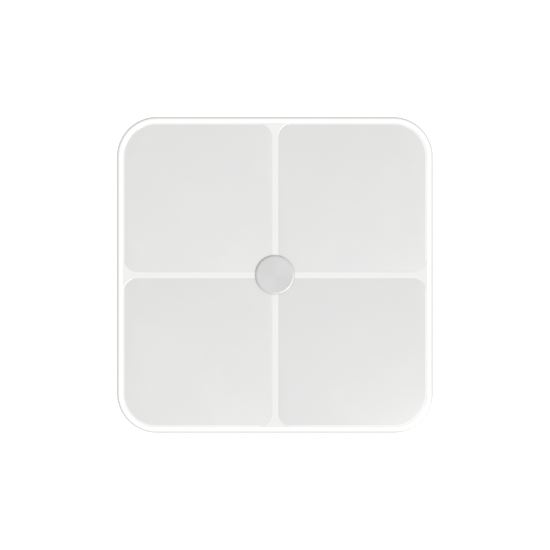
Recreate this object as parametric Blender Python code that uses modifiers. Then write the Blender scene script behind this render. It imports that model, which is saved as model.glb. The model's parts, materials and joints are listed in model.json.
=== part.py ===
"""A digital bathroom scale: a glass platform with four touch electrodes on a ribbed tray.

Metres, +Z up. The origin is on the floor, under the middle of the platform. +Y is the rear,
where the display lies under the glass. Run it with blender --background --python part.py.
"""

from math import cos, pi, sin

import bmesh
import bpy
from mathutils import Matrix, Vector

MM = 0.001

# ---------------------------------------------------------------- platform
PLATFORM_SIDE = 300 * MM
PLATFORM_CORNER = 38 * MM
GLASS_THICKNESS = 5 * MM
GLASS_EDGE_WIDTH = 4.7 * MM  # width of the rounded-over upper edge
GLASS_EDGE_DROP = 1.8 * MM  # how far that edge falls
GLASS_ARRIS = 0.8 * MM  # small chamfer under the edge
ARC_STEPS = 6  # straight pieces in each quarter turn of an outline
SMALL_ARC_STEPS = 3
EDGE_STEPS = 4  # straight pieces across the rounded-over upper edge

# ---------------------------------------------------------------- electrodes
ELECTRODE_MARGIN = 6.5 * MM  # from the platform's edge to the coated zones
CROSS_WIDTH = 6.2 * MM  # bare glass between two zones
ELECTRODE_CORNER = 13 * MM
ELECTRODE_THICKNESS = 0.2 * MM

# ---------------------------------------------------------------- heights
GAP = 0.3 * MM  # clearance between pieces that rest on each other
TRAY_CLEARANCE = 4.0 * MM  # from the floor to the underside of the tray
TRAY_FLOOR = 2.0 * MM
TAPE_THICKNESS = 0.6 * MM

# ---------------------------------------------------------------- tray
TRAY_OVERHANG = 4.0 * MM  # how far the glass stands out past the tray's rim
TRAY_SLOPE_IN = 12.4 * MM  # how far the side wall leans in towards the bottom
TRAY_RIM_HEIGHT = 1.8 * MM  # upright band along the top of the side wall
TRAY_BOTTOM_ROUND = 3.2 * MM
RIM_WIDTH = 6.4 * MM  # face that the tape sticks to
WALL_ACROSS = 2.8 * MM  # thickness of the leaning wall, measured level
RIB_THICKNESS = 1.4 * MM
RIM_RIB_SPOTS = [-80 * MM, -40 * MM, 0.0, 40 * MM, 80 * MM]
RIM_RIB_REACH = 6.0 * MM
FLOOR_RIB_X = 60 * MM
FLOOR_RIB_HEIGHT = 2.5 * MM
FLOOR_RIB_ENDS = (-30 * MM, 50 * MM)

# ---------------------------------------------------------------- feet and load cells
FOOT_INSET = 44 * MM  # from the platform's edge to a foot's middle
FOOT_RADIUS = 20 * MM
FOOT_TRAVEL = 0.5 * MM
PAD_RADIUS = 17.2 * MM
PAD_THICKNESS = 1.9 * MM
PAD_PROUD = 0.8 * MM  # how far the pad stands out of the foot cap
FOOT_NECK_RADIUS = 7.0 * MM
FOOT_NECK_WALL = 1.6 * MM
FOOT_LIP = 1.9 * MM  # how far the claws reach out past the neck
FOOT_LIP_HEIGHT = 1.0 * MM
FOOT_POST_RADIUS = 3.5 * MM
FOOT_HOLE_CLEARANCE = 0.8 * MM
CLAW_SLOT = 1.5 * MM
TURN_STEPS = 16  # straight pieces round a turned piece
PIN_STEPS = 10  # the same round a slim pin or screw

CELL_SIDE = 34 * MM
CELL_THICKNESS = 2.5 * MM
CELL_CORNER = 3 * MM
CELL_TONGUE = 12 * MM
CELL_SLOT = 2.2 * MM
CELL_SLOT_ROOT = 8.0 * MM  # where the slot ends, towards the middle of the scale
CELL_SLOT_TIP = 11.0 * MM
CELL_LEDGE = 2.3 * MM  # height of the pocket's ledge over the tray's floor
CELL_LEDGE_WIDTH = 3.4 * MM
POCKET_CLEARANCE = 0.4 * MM
POCKET_WALL = 1.4 * MM
POCKET_HEIGHT = 4.0 * MM
GAUGE_SIZE = (7 * MM, 6 * MM, 0.8 * MM)
GAUGE_X = 8 * MM

CLAMP_THICKNESS = 2.0 * MM
CLAMP_SIZE = (34 * MM, 38 * MM)
CLAMP_WINDOW = 25 * MM
CLAMP_BAR = 6 * MM
CLAMP_POST_Y = 21.4 * MM
CLAMP_POST_RADIUS = 1.6 * MM
CLAMP_BOSS_RADIUS = 3.0 * MM
CLAMP_EAR_RADIUS = 3.6 * MM

# ---------------------------------------------------------------- batteries and their bay
CELL_COUNT = 3
BATTERY_RADIUS = 5.25 * MM
BATTERY_LENGTH = 44.5 * MM
NUB_RADIUS = 1.9 * MM
NUB_LENGTH = 1.2 * MM
BATTERY_SPACING = 0.6 * MM  # free room between two batteries
BAY_Y = -62 * MM
BAY_END_CLEARANCE = 0.4 * MM
BAY_WALL = 1.4 * MM
BAY_HEADROOM = 0.1 * MM  # from the bay's roof up to the level of the tray's rim
SPRING_LENGTH = 5.9 * MM
SPRING_WIRE = 0.35 * MM
SPRING_TURNS = 3
SPRING_STEPS = 8  # straight pieces in each turn
SPRING_BASE_RADIUS = 3.4 * MM
SPRING_TIP_RADIUS = 2.0 * MM
CONTACT_SIDE = 9 * MM
CONTACT_THICKNESS = 0.4 * MM
CONTACT_TAIL = (3.7 * MM, 2.5 * MM)  # length and width
CONTACT_TAIL_RISE = 3.2 * MM
BATTERY_LIFT = 0.7 * MM  # from the tray's inner floor to a battery's underside

# ---------------------------------------------------------------- battery door
DOOR_LEDGE = 2.8 * MM  # how far the door laps the bay's rim
DOOR_CLEARANCE = 0.4 * MM
DOOR_THICKNESS = 1.7 * MM
DOOR_CORNER = 3 * MM
LEDGE_THICKNESS = 1.4 * MM
LEDGE_REACH = 4 * MM
GRIP_GROOVE = 0.8 * MM
TAB_X = 14 * MM
TAB_WIDTH = 8 * MM
TAB_RISER = 2.0 * MM
TAB_LAP = 2.2 * MM
TAB_THICKNESS = 1.25 * MM
TAB_CLEARANCE = 0.5 * MM
TAB_SWING_ROOM = 3.6 * MM
LATCH_WIDTH = 12 * MM
LATCH_SLOT = 1.2 * MM
LATCH_LENGTH = 9 * MM
LATCH_ARM = 1.0 * MM
LATCH_HEIGHT = 4.6 * MM
LATCH_ROOM = 0.8 * MM
LATCH_INSET = 0.4 * MM  # from the bay's front wall to the latch arm
SCOOP_SIZE = (20 * MM, 10 * MM)
SCOOP_DEPTH = 1.0 * MM
GRIP_GROOVES = 3

# ---------------------------------------------------------------- board and what is on it
BOARD_HALF_WIDTH = 34 * MM
BOARD_ENDS = (-16 * MM, 102 * MM)
BOARD_THICKNESS = 1.6 * MM
BOARD_LIFT = 6.0 * MM  # from the tray's inner floor to the board's underside
BOARD_CORNER = 2 * MM
BOARD_HOLE_INSET = 4 * MM
BOARD_HOLE_RADIUS = 1.6 * MM
BOSS_RADIUS = 3.0 * MM
BOSS_HOLE_RADIUS = 1.4 * MM
BOSS_HOLE_DEPTH = 4.5 * MM
SCREW_RADIUS = 1.1 * MM
SCREW_HEAD_RADIUS = 2.5 * MM
SCREW_HEAD_HEIGHT = 1.6 * MM
SCREW_LENGTH = 5.5 * MM
CHIP_SIZE = (10 * MM, 10 * MM, 1.4 * MM)
CHIP_PLACE = (-18 * MM, 30 * MM)
CHIP_BEVEL = 0.25 * MM
RADIO_SIZE = (15 * MM, 20 * MM, 0.8 * MM)
RADIO_CAN = (12.5 * MM, 13.5 * MM, 1.8 * MM)
RADIO_CAN_MARGIN = 0.6 * MM  # from the module's front edge to its metal can
RADIO_PLACE = (18 * MM, 34 * MM)
DISPLAY_PLACE = (0.0, 84 * MM)
DISPLAY_SIZE = (54 * MM, 25 * MM)
DIFFUSER_THICKNESS = 0.4 * MM
DIGIT_COUNT = 4
DIGIT_PITCH = 13.5 * MM
SEGMENT_LENGTH = 5.6 * MM
SEGMENT_WIDTH = 1.5 * MM
SEGMENT_GAP = 0.9 * MM

# ---------------------------------------------------------------- unit button
BUTTON_PLACE = (24 * MM, 2 * MM)
BUTTON_RADIUS = 4.6 * MM
BUTTON_FLANGE = 1.8 * MM
BUTTON_FLANGE_HEIGHT = 0.6 * MM
BUTTON_RECESS = 0.5 * MM
BUTTON_TRAVEL = 0.6 * MM
SWITCH_SIDE = 6 * MM
SWITCH_HEIGHT = 3.4 * MM
PLUNGER_RADIUS = 1.75 * MM

# ---------------------------------------------------------------- hub in the middle of the glass
CAP_RADIUS = 18.5 * MM
CAP_HEIGHT = 1.8 * MM
CAP_CHAMFER = 1.0 * MM
CAP_RIM = 1.2 * MM
CAP_ROOF = 0.9 * MM
SPIGOT_RADIUS = 4.0 * MM
HUB_RADIUS = 8.0 * MM
HUB_HOLE_CLEARANCE = 0.5 * MM
HUB_FLANGE_RADIUS = 14 * MM
HUB_FLANGE_THICKNESS = 2.0 * MM
HUB_SKIRT_RADIUS = 9.5 * MM
HUB_SKIRT_WALL_CLEARANCE = 1.0 * MM  # from the board's face to the skirt
HUB_WEB_THICKNESS = 1.8 * MM
CAP_SCREW_RADIUS = 1.2 * MM
CAP_SCREW_HEAD_RADIUS = 2.9 * MM
CAP_SCREW_HEAD_HEIGHT = 1.7 * MM
CAP_SCREW_LENGTH = 6.4 * MM
LEAF_THICKNESS = 0.3 * MM
LEAF_WIDTH = 4.0 * MM
LEAF_LEG_RADIUS = 6.05 * MM  # inner face of the upright leg
LEAF_REACH = 15.5 * MM
LEAF_FOOT = 2.0 * MM
LEAF_CLEARANCE = 0.4 * MM

# ---------------------------------------------------------------- wiring and label
CABLE_RADIUS = 1.1 * MM
LEAD_RADIUS = 0.8 * MM
ROUTE_STEPS = 2  # straight pieces between two points of a wire's route
FRONT_CABLE_END_Y = -4 * MM
REAR_CABLE_END_Y = 60 * MM
LEAD_END_Y = 5 * MM
WIRE_OVER_BOARD = 3 * MM  # how far a wire's end lies in over the board
CABLE_NEAR = 11 * MM  # how far outside the board a cable runs, and further on
CABLE_FAR = 20 * MM
LEAD_BESIDE_BOARD = 2.4 * MM  # how far outside the board the battery leads run
LEAD_BESIDE_TAIL = 7 * MM
LABEL_SIZE = (88 * MM, 52 * MM)
LABEL_PLACE = (0.0, 56 * MM)
LABEL_CORNER = 3 * MM
LABEL_THICKNESS = 0.15 * MM
LABEL_RECESS = 0.45 * MM

# ---------------------------------------------------------------- places that follow
HALF = PLATFORM_SIDE / 2
CORNER_CENTRE = HALF - PLATFORM_CORNER  # shared by every outline, from glass to tray
INNER_FLOOR = TRAY_CLEARANCE + TRAY_FLOOR
BATTERY_Z = INNER_FLOOR + BATTERY_LIFT + BATTERY_RADIUS
BATTERY_PITCH = 2 * BATTERY_RADIUS + BATTERY_SPACING
BAY_ROOF = BATTERY_Z + BATTERY_RADIUS + GAP
TRAY_HEIGHT = BAY_ROOF + BAY_WALL + BAY_HEADROOM - TRAY_CLEARANCE
RIM_TOP = TRAY_CLEARANCE + TRAY_HEIGHT
TAPE_BOTTOM = RIM_TOP + GAP
TAPE_TOP = TAPE_BOTTOM + TAPE_THICKNESS
GLASS_BOTTOM = TAPE_TOP + GAP
GLASS_TOP = GLASS_BOTTOM + GLASS_THICKNESS
TRAY_HALF = HALF - TRAY_OVERHANG
FOOT_AT = HALF - FOOT_INSET
CORNERS = {
    "front_left": (-1, -1),
    "front_right": (1, -1),
    "rear_left": (-1, 1),
    "rear_right": (1, 1),
}
OVERLAP = 1.0 * MM  # how deep a joined or cutting shape runs past the face it meets

CELL_BOTTOM = INNER_FLOOR + CELL_LEDGE + GAP
CELL_TOP = CELL_BOTTOM + CELL_THICKNESS
CLAMP_BOTTOM = CELL_TOP + GAP
CLAMP_TOP = CLAMP_BOTTOM + CLAMP_THICKNESS

BOARD_BOTTOM = INNER_FLOOR + BOARD_LIFT
BOARD_TOP = BOARD_BOTTOM + BOARD_THICKNESS
ON_BOARD = BOARD_TOP + GAP

PLATE_X = (BATTERY_LENGTH + SPRING_LENGTH + 2 * GAP) / 2  # inner face of a contact plate
BAY_HALF_X = PLATE_X + CONTACT_THICKNESS + GAP
BAY_HALF_Y = (CELL_COUNT - 1) / 2 * BATTERY_PITCH + BATTERY_RADIUS + BAY_END_CLEARANCE
OPENING_HALF_X = BAY_HALF_X + DOOR_LEDGE
OPENING_HALF_Y = BAY_HALF_Y + DOOR_LEDGE
OPENING_REAR = BAY_Y + OPENING_HALF_Y
OPENING_FRONT = BAY_Y - OPENING_HALF_Y
DOOR_TOP = TRAY_CLEARANCE + DOOR_THICKNESS
DOOR_HINGE_Y = OPENING_REAR - DOOR_CLEARANCE / 2
TAB_FRONT = BAY_Y + BAY_HALF_Y
LATCH_ARM_Y = BAY_Y - BAY_HALF_Y - LATCH_ARM / 2 - LATCH_INSET

LEAF_BOTTOM = GLASS_TOP + GAP
HUB_SKIRT_BOTTOM = BOARD_TOP + HUB_SKIRT_WALL_CLEARANCE
SCREW_HEAD_BOTTOM = HUB_SKIRT_BOTTOM + GAP
HUB_WEB_BOTTOM = SCREW_HEAD_BOTTOM + CAP_SCREW_HEAD_HEIGHT + GAP
HUB_WEB_TOP = HUB_WEB_BOTTOM + HUB_WEB_THICKNESS


# ---------------------------------------------------------------- scene and materials
def clear_scene():
    for old in list(bpy.data.objects):
        bpy.data.objects.remove(old)


def new_collection(name):
    made = bpy.data.collections.new(name)
    bpy.context.scene.collection.children.link(made)
    return made


def new_material(name, colour, roughness, metallic=0.0):
    made = bpy.data.materials.new(name)
    made.use_nodes = True
    shader = made.node_tree.nodes["Principled BSDF"]
    shader.inputs["Base Color"].default_value = (*colour, 1.0)
    shader.inputs["Roughness"].default_value = roughness
    shader.inputs["Metallic"].default_value = metallic
    made.diffuse_color = (*colour, 1.0)
    return made


clear_scene()
PARTS = new_collection("bathroom_scale")
CUTTERS = new_collection("cutters")
CUTTERS.hide_render = True

MATERIALS = {
    "glass": new_material("platform_glass", (0.88, 0.88, 0.87), 0.12),
    "electrode": new_material("electrode_film", (0.79, 0.79, 0.77), 0.35),
    "shell": new_material("shell_plastic", (0.86, 0.86, 0.85), 0.5),
    "cap": new_material("cap_metal", (0.70, 0.70, 0.70), 0.35, 0.6),
    "steel": new_material("steel", (0.56, 0.57, 0.58), 0.35, 1.0),
    "spring": new_material("plated_contact", (0.72, 0.68, 0.55), 0.3, 1.0),
    "rubber": new_material("foot_rubber", (0.42, 0.42, 0.42), 0.8),
    "board": new_material("board_laminate", (0.05, 0.22, 0.11), 0.45),
    "chip": new_material("chip_black", (0.03, 0.03, 0.03), 0.5),
    "wire": new_material("wire_jacket", (0.32, 0.32, 0.34), 0.5),
    "lead_red": new_material("lead_red", (0.55, 0.04, 0.03), 0.45),
    "lead_black": new_material("lead_black", (0.03, 0.03, 0.03), 0.45),
    "battery": new_material("battery_wrap", (0.18, 0.24, 0.30), 0.3),
    "tape": new_material("foam_tape", (0.80, 0.80, 0.78), 0.9),
    "diffuser": new_material("display_film", (0.75, 0.76, 0.78), 0.6),
    "label": new_material("label_film", (0.82, 0.83, 0.84), 0.4),
}


# ---------------------------------------------------------------- modelling helpers
def add_object(name, data, material=None):
    made = bpy.data.objects.new(name, data)
    PARTS.objects.link(made)
    if material:
        data.materials.append(MATERIALS[material])
    return made


def mesh_object(name, bm, material=None):
    data = bpy.data.meshes.new(name)
    bm.to_mesh(data)
    bm.free()
    return add_object(name, data, material)


def box_into(bm, size, centre):
    place = Matrix.Translation(centre) @ Matrix.Diagonal((*size, 1.0))
    bmesh.ops.create_cube(bm, size=1.0, matrix=place)


def boxes(name, places, material=None):
    """One object holding a box for each (size, centre)."""
    bm = bmesh.new()
    for size, centre in places:
        box_into(bm, size, centre)
    return mesh_object(name, bm, material)


def block(name, low, high, material=None):
    """A box from its lowest corner to its highest."""
    low, high = Vector(low), Vector(high)
    return boxes(name, [(high - low, (low + high) / 2)], material)


def cylinder(name, radius, bottom, top, place, steps=TURN_STEPS, material=None):
    bm = bmesh.new()
    middle = Matrix.Translation((*place, (bottom + top) / 2))
    bmesh.ops.create_cone(
        bm, cap_ends=True, segments=steps, radius1=radius, radius2=radius, depth=top - bottom, matrix=middle
    )
    return mesh_object(name, bm, material)


def turned(name, profile, material=None, steps=TURN_STEPS, ring=False):
    """A profile of (radius, height) turned about Z. It runs down the outer side, top to bottom."""
    data = bpy.data.meshes.new(name)
    points = [(radius, 0.0, height) for radius, height in profile]
    edges = [(i, i + 1) for i in range(len(points) - 1)]
    if ring:
        edges.append((len(points) - 1, 0))
    data.from_pydata(points, edges, [])
    made = add_object(name, data, material)
    screw = made.modifiers.new("turn", "SCREW")
    screw.steps = steps
    screw.render_steps = steps
    screw.use_merge_vertices = True
    screw.merge_threshold = 0.00001
    screw.use_smooth_shade = False
    return made


def rounded_outline(x_low, x_high, y_low, y_high, radii, steps=ARC_STEPS):
    """Points round a rectangle, anticlockwise from its lower left corner, each corner with its own radius."""
    corners = [(x_low, y_low), (x_high, y_low), (x_high, y_high), (x_low, y_high)]
    inwards = [(1, 1), (-1, 1), (-1, -1), (1, -1)]
    points = []
    for turn, ((x, y), (way_x, way_y), radius) in enumerate(zip(corners, inwards, radii)):
        for step in range(steps + 1):
            angle = pi + (turn + step / steps) * pi / 2
            centre_x = x + way_x * radius
            centre_y = y + way_y * radius
            points.append((centre_x + radius * cos(angle), centre_y + radius * sin(angle)))
    return points


def rounded_box_outline(size_x, size_y, radius, place=(0.0, 0.0), steps=ARC_STEPS):
    x, y = place
    return rounded_outline(
        x - size_x / 2, x + size_x / 2, y - size_y / 2, y + size_y / 2, [radius] * 4, steps
    )


def body_outline(half):
    """The platform's outline at another half width, with the same corner centres."""
    return rounded_outline(-half, half, -half, half, [half - CORNER_CENTRE] * 4)


def flat_plate(name, outlines, bottom, top, material=None):
    """A flat piece from closed outlines. An outline inside another is a hole."""
    curve = bpy.data.curves.new(name, "CURVE")
    curve.dimensions = "2D"
    curve.fill_mode = "BOTH"
    curve.extrude = (top - bottom) / 2
    for outline in outlines:
        spline = curve.splines.new("POLY")
        spline.points.add(len(outline) - 1)
        for point, (x, y) in zip(spline.points, outline):
            point.co = (x, y, 0.0, 1.0)
        spline.use_cyclic_u = True
    made = add_object(name, curve, material)
    made.location.z = (bottom + top) / 2
    return made


def as_mesh(source, material=None):
    """The source's finished shape as a plain mesh object of the same name, with its place in its mesh."""
    bpy.context.view_layer.update()
    graph = bpy.context.evaluated_depsgraph_get()
    data = bpy.data.meshes.new_from_object(source.evaluated_get(graph))
    data.transform(source.matrix_world)
    name = source.name
    bpy.data.objects.remove(source)
    bm = bmesh.new()
    bm.from_mesh(data)
    bmesh.ops.remove_doubles(bm, verts=bm.verts, dist=0.000001)
    bm.to_mesh(data)
    bm.free()
    data.materials.clear()
    return add_object(name, data, material)


def lofted(name, sections, material=None):
    """A closed body through level sections of the platform's outline, given as (half width, height)."""
    bm = bmesh.new()
    rings = []
    for half, height in sections:
        rings.append([bm.verts.new((x, y, height)) for x, y in body_outline(half)])
    count = len(rings[0])
    for lower, upper in zip(rings, rings[1:]):
        for i in range(count):
            after = (i + 1) % count
            bm.faces.new((lower[i], lower[after], upper[after], upper[i]))
    bm.faces.new(list(reversed(rings[0])))
    bm.faces.new(rings[-1])
    return mesh_object(name, bm, material)


def as_cutter(tool):
    for holder in list(tool.users_collection):
        holder.objects.unlink(tool)
    CUTTERS.objects.link(tool)
    tool.hide_render = True
    tool.display_type = "WIRE"
    return tool


def boolean(target, tool, operation):
    tool = as_cutter(tool)
    change = target.modifiers.new(f"{operation.lower()} {tool.name}", "BOOLEAN")
    change.operation = operation
    change.object = tool
    change.solver = "EXACT"


def cut(target, *tools):
    for tool in tools:
        boolean(target, tool, "DIFFERENCE")


def join(target, *tools):
    for tool in tools:
        boolean(target, tool, "UNION")


def place_at_feet(source, material):
    """Puts a copy of a piece at each foot, turned so that its +X side faces the middle of the scale."""
    pattern = as_mesh(source, material)
    for corner, (side_x, side_y) in CORNERS.items():
        copy = bpy.data.objects.new(f"{pattern.name}_{corner}", pattern.data)
        PARTS.objects.link(copy)
        copy.location = (side_x * FOOT_AT, side_y * FOOT_AT, 0.0)
        if side_x > 0:
            copy.rotation_euler.z = pi
    bpy.data.objects.remove(pattern)


def smooth_route(points, per_stretch):
    """Points along a smooth curve through the given ones (a Catmull-Rom spline)."""
    spots = [Vector(p) for p in points]
    padded = [2 * spots[0] - spots[1], *spots, 2 * spots[-1] - spots[-2]]
    route = []
    for i in range(1, len(padded) - 2):
        before, start, end, after = padded[i - 1 : i + 3]
        for step in range(per_stretch):
            t = step / per_stretch
            route.append(
                0.5
                * (
                    2 * start
                    + (end - before) * t
                    + (2 * before - 5 * start + 4 * end - after) * t * t
                    + (3 * start - before - 3 * end + after) * t * t * t
                )
            )
    route.append(spots[-1])
    return route


def tube(name, points, radius, material=None, sides_level=2):
    """A round wire along the points, with closed ends."""
    curve = bpy.data.curves.new(name, "CURVE")
    curve.dimensions = "3D"
    curve.bevel_depth = radius
    curve.bevel_resolution = sides_level
    curve.use_fill_caps = True
    spline = curve.splines.new("POLY")
    spline.points.add(len(points) - 1)
    for point, place in zip(spline.points, points):
        point.co = (*place, 1.0)
    return add_object(name, curve, material)


# ---------------------------------------------------------------- platform
def electrode_outline(side_x, side_y, grow=0.0):
    """One coated zone, grown by a margin: wide outer corner, three tighter ones."""
    outer = HALF - ELECTRODE_MARGIN + grow
    inner = CROSS_WIDTH / 2 - grow
    wide = outer - CORNER_CENTRE
    tight = ELECTRODE_CORNER + grow
    points = rounded_outline(inner, outer, inner, outer, [tight, tight, wide, tight])
    return [(side_x * x, side_y * y) for x, y in points]


def make_glass():
    edge = [
        (
            HALF - GLASS_EDGE_WIDTH * (1 - cos(step / EDGE_STEPS * pi / 2)),
            GLASS_TOP - GLASS_EDGE_DROP * (1 - sin(step / EDGE_STEPS * pi / 2)),
        )
        for step in range(EDGE_STEPS + 1)
    ]
    sections = [(HALF - GLASS_ARRIS, GLASS_BOTTOM), (HALF, GLASS_BOTTOM + GLASS_ARRIS), *edge]
    glass = lofted("glass_platform", sections, "glass")
    pocket_floor = GLASS_TOP - ELECTRODE_THICKNESS - GAP
    for corner, (side_x, side_y) in CORNERS.items():
        outline = electrode_outline(side_x, side_y, GAP)
        pocket = flat_plate(f"electrode_pocket_{corner}", [outline], pocket_floor, GLASS_TOP + OVERLAP)
        cut(glass, as_mesh(pocket))
    hole = cylinder(
        "hub_hole", HUB_RADIUS + HUB_HOLE_CLEARANCE, GLASS_BOTTOM - OVERLAP, GLASS_TOP + OVERLAP, (0.0, 0.0)
    )
    cut(glass, hole)


def make_electrodes():
    bottom = GLASS_TOP - ELECTRODE_THICKNESS
    for corner, (side_x, side_y) in CORNERS.items():
        outline = electrode_outline(side_x, side_y)
        flat_plate(f"electrode_{corner}", [outline], bottom, GLASS_TOP, "electrode")


def make_tape():
    outer = body_outline(TRAY_HALF - 0.6 * MM)
    inner = body_outline(TRAY_HALF - RIM_WIDTH + 0.6 * MM)
    flat_plate("platform_tape", [outer, inner], TAPE_BOTTOM, TAPE_TOP, "tape")


# ---------------------------------------------------------------- tray
def make_tray():
    lean_top = RIM_TOP - TRAY_RIM_HEIGHT
    lean_bottom = TRAY_HALF - TRAY_SLOPE_IN
    start = TRAY_CLEARANCE + TRAY_BOTTOM_ROUND * 0.55
    outside = [
        (lean_bottom - TRAY_BOTTOM_ROUND, TRAY_CLEARANCE),
        (lean_bottom - TRAY_BOTTOM_ROUND * 0.42, TRAY_CLEARANCE + TRAY_BOTTOM_ROUND * 0.16),
        (lean_bottom, start),
        (TRAY_HALF, lean_top),
        (TRAY_HALF, RIM_TOP),
    ]
    slope = TRAY_SLOPE_IN / (lean_top - start)
    inner_bottom = lean_bottom + slope * (INNER_FLOOR - start) - WALL_ACROSS
    inner_top = TRAY_HALF - RIM_WIDTH
    meets = INNER_FLOOR + (inner_top - inner_bottom) / slope
    inside = [(inner_bottom, INNER_FLOOR), (inner_top, meets), (inner_top, RIM_TOP + OVERLAP)]
    tray = lofted("base_tray", outside, "shell")
    hollow = lofted("tray_inside", inside)
    cut(hollow, rim_ribs(inner_top))
    cut(tray, hollow)
    join(tray, floor_ribs(), bay_block())
    join(tray, *cell_pockets(), *clamp_posts(), *board_bosses())
    cut(tray, *bay_cuts(), *foot_holes(), *boss_holes())
    cut(tray, button_hole(), label_recess())
    return tray


def rim_ribs(inner_half):
    """Upright ribs against the side wall. They are left standing where the tray is hollowed."""
    low, high = TRAY_CLEARANCE, RIM_TOP
    middle = inner_half - RIM_RIB_REACH / 2 + OVERLAP / 2
    reach = RIM_RIB_REACH + OVERLAP
    tall, height = high - low, (low + high) / 2
    places = []
    for spot in RIM_RIB_SPOTS:
        for side in (-1, 1):
            places.append(((reach, RIB_THICKNESS, tall), (side * middle, spot, height)))
            places.append(((RIB_THICKNESS, reach, tall), (spot, side * middle, height)))
    return boxes("rim_ribs", places)


def floor_ribs():
    low, high = INNER_FLOOR - OVERLAP, INNER_FLOOR + FLOOR_RIB_HEIGHT
    front, rear = FLOOR_RIB_ENDS
    size = (RIB_THICKNESS, rear - front, high - low)
    middle = ((front + rear) / 2, (low + high) / 2)
    return boxes("floor_ribs", [(size, (side * FLOOR_RIB_X, *middle)) for side in (-1, 1)])


def bay_block():
    """The battery bay's outer body, with the ledge that the door closes against."""
    top = BAY_ROOF + BAY_WALL
    low = INNER_FLOOR - OVERLAP
    bay = block(
        "bay_block",
        (-BAY_HALF_X - BAY_WALL, BAY_Y - BAY_HALF_Y - BAY_WALL, low),
        (BAY_HALF_X + BAY_WALL, BAY_Y + BAY_HALF_Y + BAY_WALL, top),
    )
    ledge = block(
        "bay_ledge",
        (-OPENING_HALF_X - LEDGE_REACH, OPENING_FRONT - LEDGE_REACH, low),
        (OPENING_HALF_X + LEDGE_REACH, OPENING_REAR + LEDGE_REACH, INNER_FLOOR + LEDGE_THICKNESS),
    )
    join(bay, ledge)
    return bay


def bay_cuts():
    """The bay's inside, the door's opening, room for its tabs and latch, wire slots and a finger scoop."""
    under = TRAY_CLEARANCE - OVERLAP
    inside = block(
        "bay_inside",
        (-BAY_HALF_X, BAY_Y - BAY_HALF_Y, under),
        (BAY_HALF_X, BAY_Y + BAY_HALF_Y, BAY_ROOF),
    )
    outline = rounded_box_outline(
        2 * OPENING_HALF_X, 2 * OPENING_HALF_Y, DOOR_CORNER + DOOR_CLEARANCE, (0.0, BAY_Y), SMALL_ARC_STEPS
    )
    opening = as_mesh(flat_plate("door_opening", [outline], under, INNER_FLOOR))
    width = TAB_WIDTH + 2 * TAB_CLEARANCE
    tab_rooms = [
        block(
            f"tab_room_{name}",
            (side * TAB_X - width / 2, TAB_FRONT - OVERLAP, INNER_FLOOR),
            (
                side * TAB_X + width / 2,
                OPENING_REAR + LEDGE_REACH + OVERLAP,
                INNER_FLOOR + TAB_SWING_ROOM,
            ),
        )
        for name, side in (("left", -1), ("right", 1))
    ]
    latch_half = LATCH_WIDTH / 2 + TAB_CLEARANCE
    latch_room = block(
        "latch_room",
        (-latch_half, LATCH_ARM_Y - LATCH_ARM / 2 - LATCH_ROOM, INNER_FLOOR - OVERLAP / 2),
        (latch_half, BAY_Y - BAY_HALF_Y + OVERLAP, INNER_FLOOR + LATCH_HEIGHT),
    )
    slot_z = BATTERY_Z + CONTACT_TAIL_RISE + CONTACT_THICKNESS / 2
    half_slot = CONTACT_TAIL[1] / 2 + TAB_CLEARANCE
    slot_half_height = CONTACT_THICKNESS / 2 + TAB_CLEARANCE
    wire_slots = [
        block(
            f"wire_slot_{name}",
            (side * (BAY_HALF_X + BAY_WALL / 2) - 2 * OVERLAP, y - half_slot, slot_z - slot_half_height),
            (side * (BAY_HALF_X + BAY_WALL / 2) + 2 * OVERLAP, y + half_slot, slot_z + slot_half_height),
        )
        for name, side, y in (("left", -1, battery_y(2)), ("right", 1, battery_y(0)))
    ]
    scoop_outline = rounded_box_outline(
        *SCOOP_SIZE, SCOOP_SIZE[1] / 2 - 0.5 * MM, (0.0, OPENING_FRONT - SCOOP_SIZE[1] / 2 + 3 * MM)
    )
    scoop = as_mesh(flat_plate("finger_scoop", [scoop_outline], under, TRAY_CLEARANCE + SCOOP_DEPTH))
    return [inside, opening, *tab_rooms, latch_room, *wire_slots, scoop]


def at_feet(make):
    """What make(name, x, y) gives for each foot."""
    return [make(corner, sx * FOOT_AT, sy * FOOT_AT) for corner, (sx, sy) in CORNERS.items()]


def cell_pockets():
    """A low wall round each load cell and a ledge that carries its frame."""
    inner = CELL_SIDE + 2 * POCKET_CLEARANCE
    outer = inner + 2 * POCKET_WALL
    low = INNER_FLOOR - OVERLAP
    wall_top = INNER_FLOOR + POCKET_HEIGHT
    ledge_top = INNER_FLOOR + CELL_LEDGE

    def pocket(corner, x, y):
        wall = block(
            f"pocket_{corner}", (x - outer / 2, y - outer / 2, low), (x + outer / 2, y + outer / 2, wall_top)
        )
        cut(
            wall,
            block(
                f"pocket_space_{corner}",
                (x - inner / 2, y - inner / 2, ledge_top),
                (x + inner / 2, y + inner / 2, wall_top + OVERLAP),
            ),
        )
        within = inner / 2 - CELL_LEDGE_WIDTH
        cut(
            wall,
            block(
                f"pocket_well_{corner}",
                (x - within, y - within, INNER_FLOOR),
                (x + within, y + within, ledge_top + OVERLAP),
            ),
        )
        return wall

    return at_feet(pocket)


def clamp_posts():
    """Two stepped posts beside each load cell. The clamp rests on the step and is staked on the pin."""
    made = []
    for corner, (side_x, side_y) in CORNERS.items():
        for name, way in (("a", -1), ("b", 1)):
            place = (side_x * FOOT_AT, side_y * FOOT_AT + way * CLAMP_POST_Y)
            step = CLAMP_BOTTOM - GAP
            boss = cylinder(
                f"clamp_boss_{corner}_{name}",
                CLAMP_BOSS_RADIUS,
                INNER_FLOOR - OVERLAP,
                step,
                place,
                PIN_STEPS,
            )
            pin = cylinder(
                f"clamp_pin_{corner}_{name}",
                CLAMP_POST_RADIUS,
                step - OVERLAP,
                CLAMP_TOP + CLAMP_POST_RADIUS / 2,
                place,
                PIN_STEPS,
            )
            made += [boss, pin]
    return made


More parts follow.
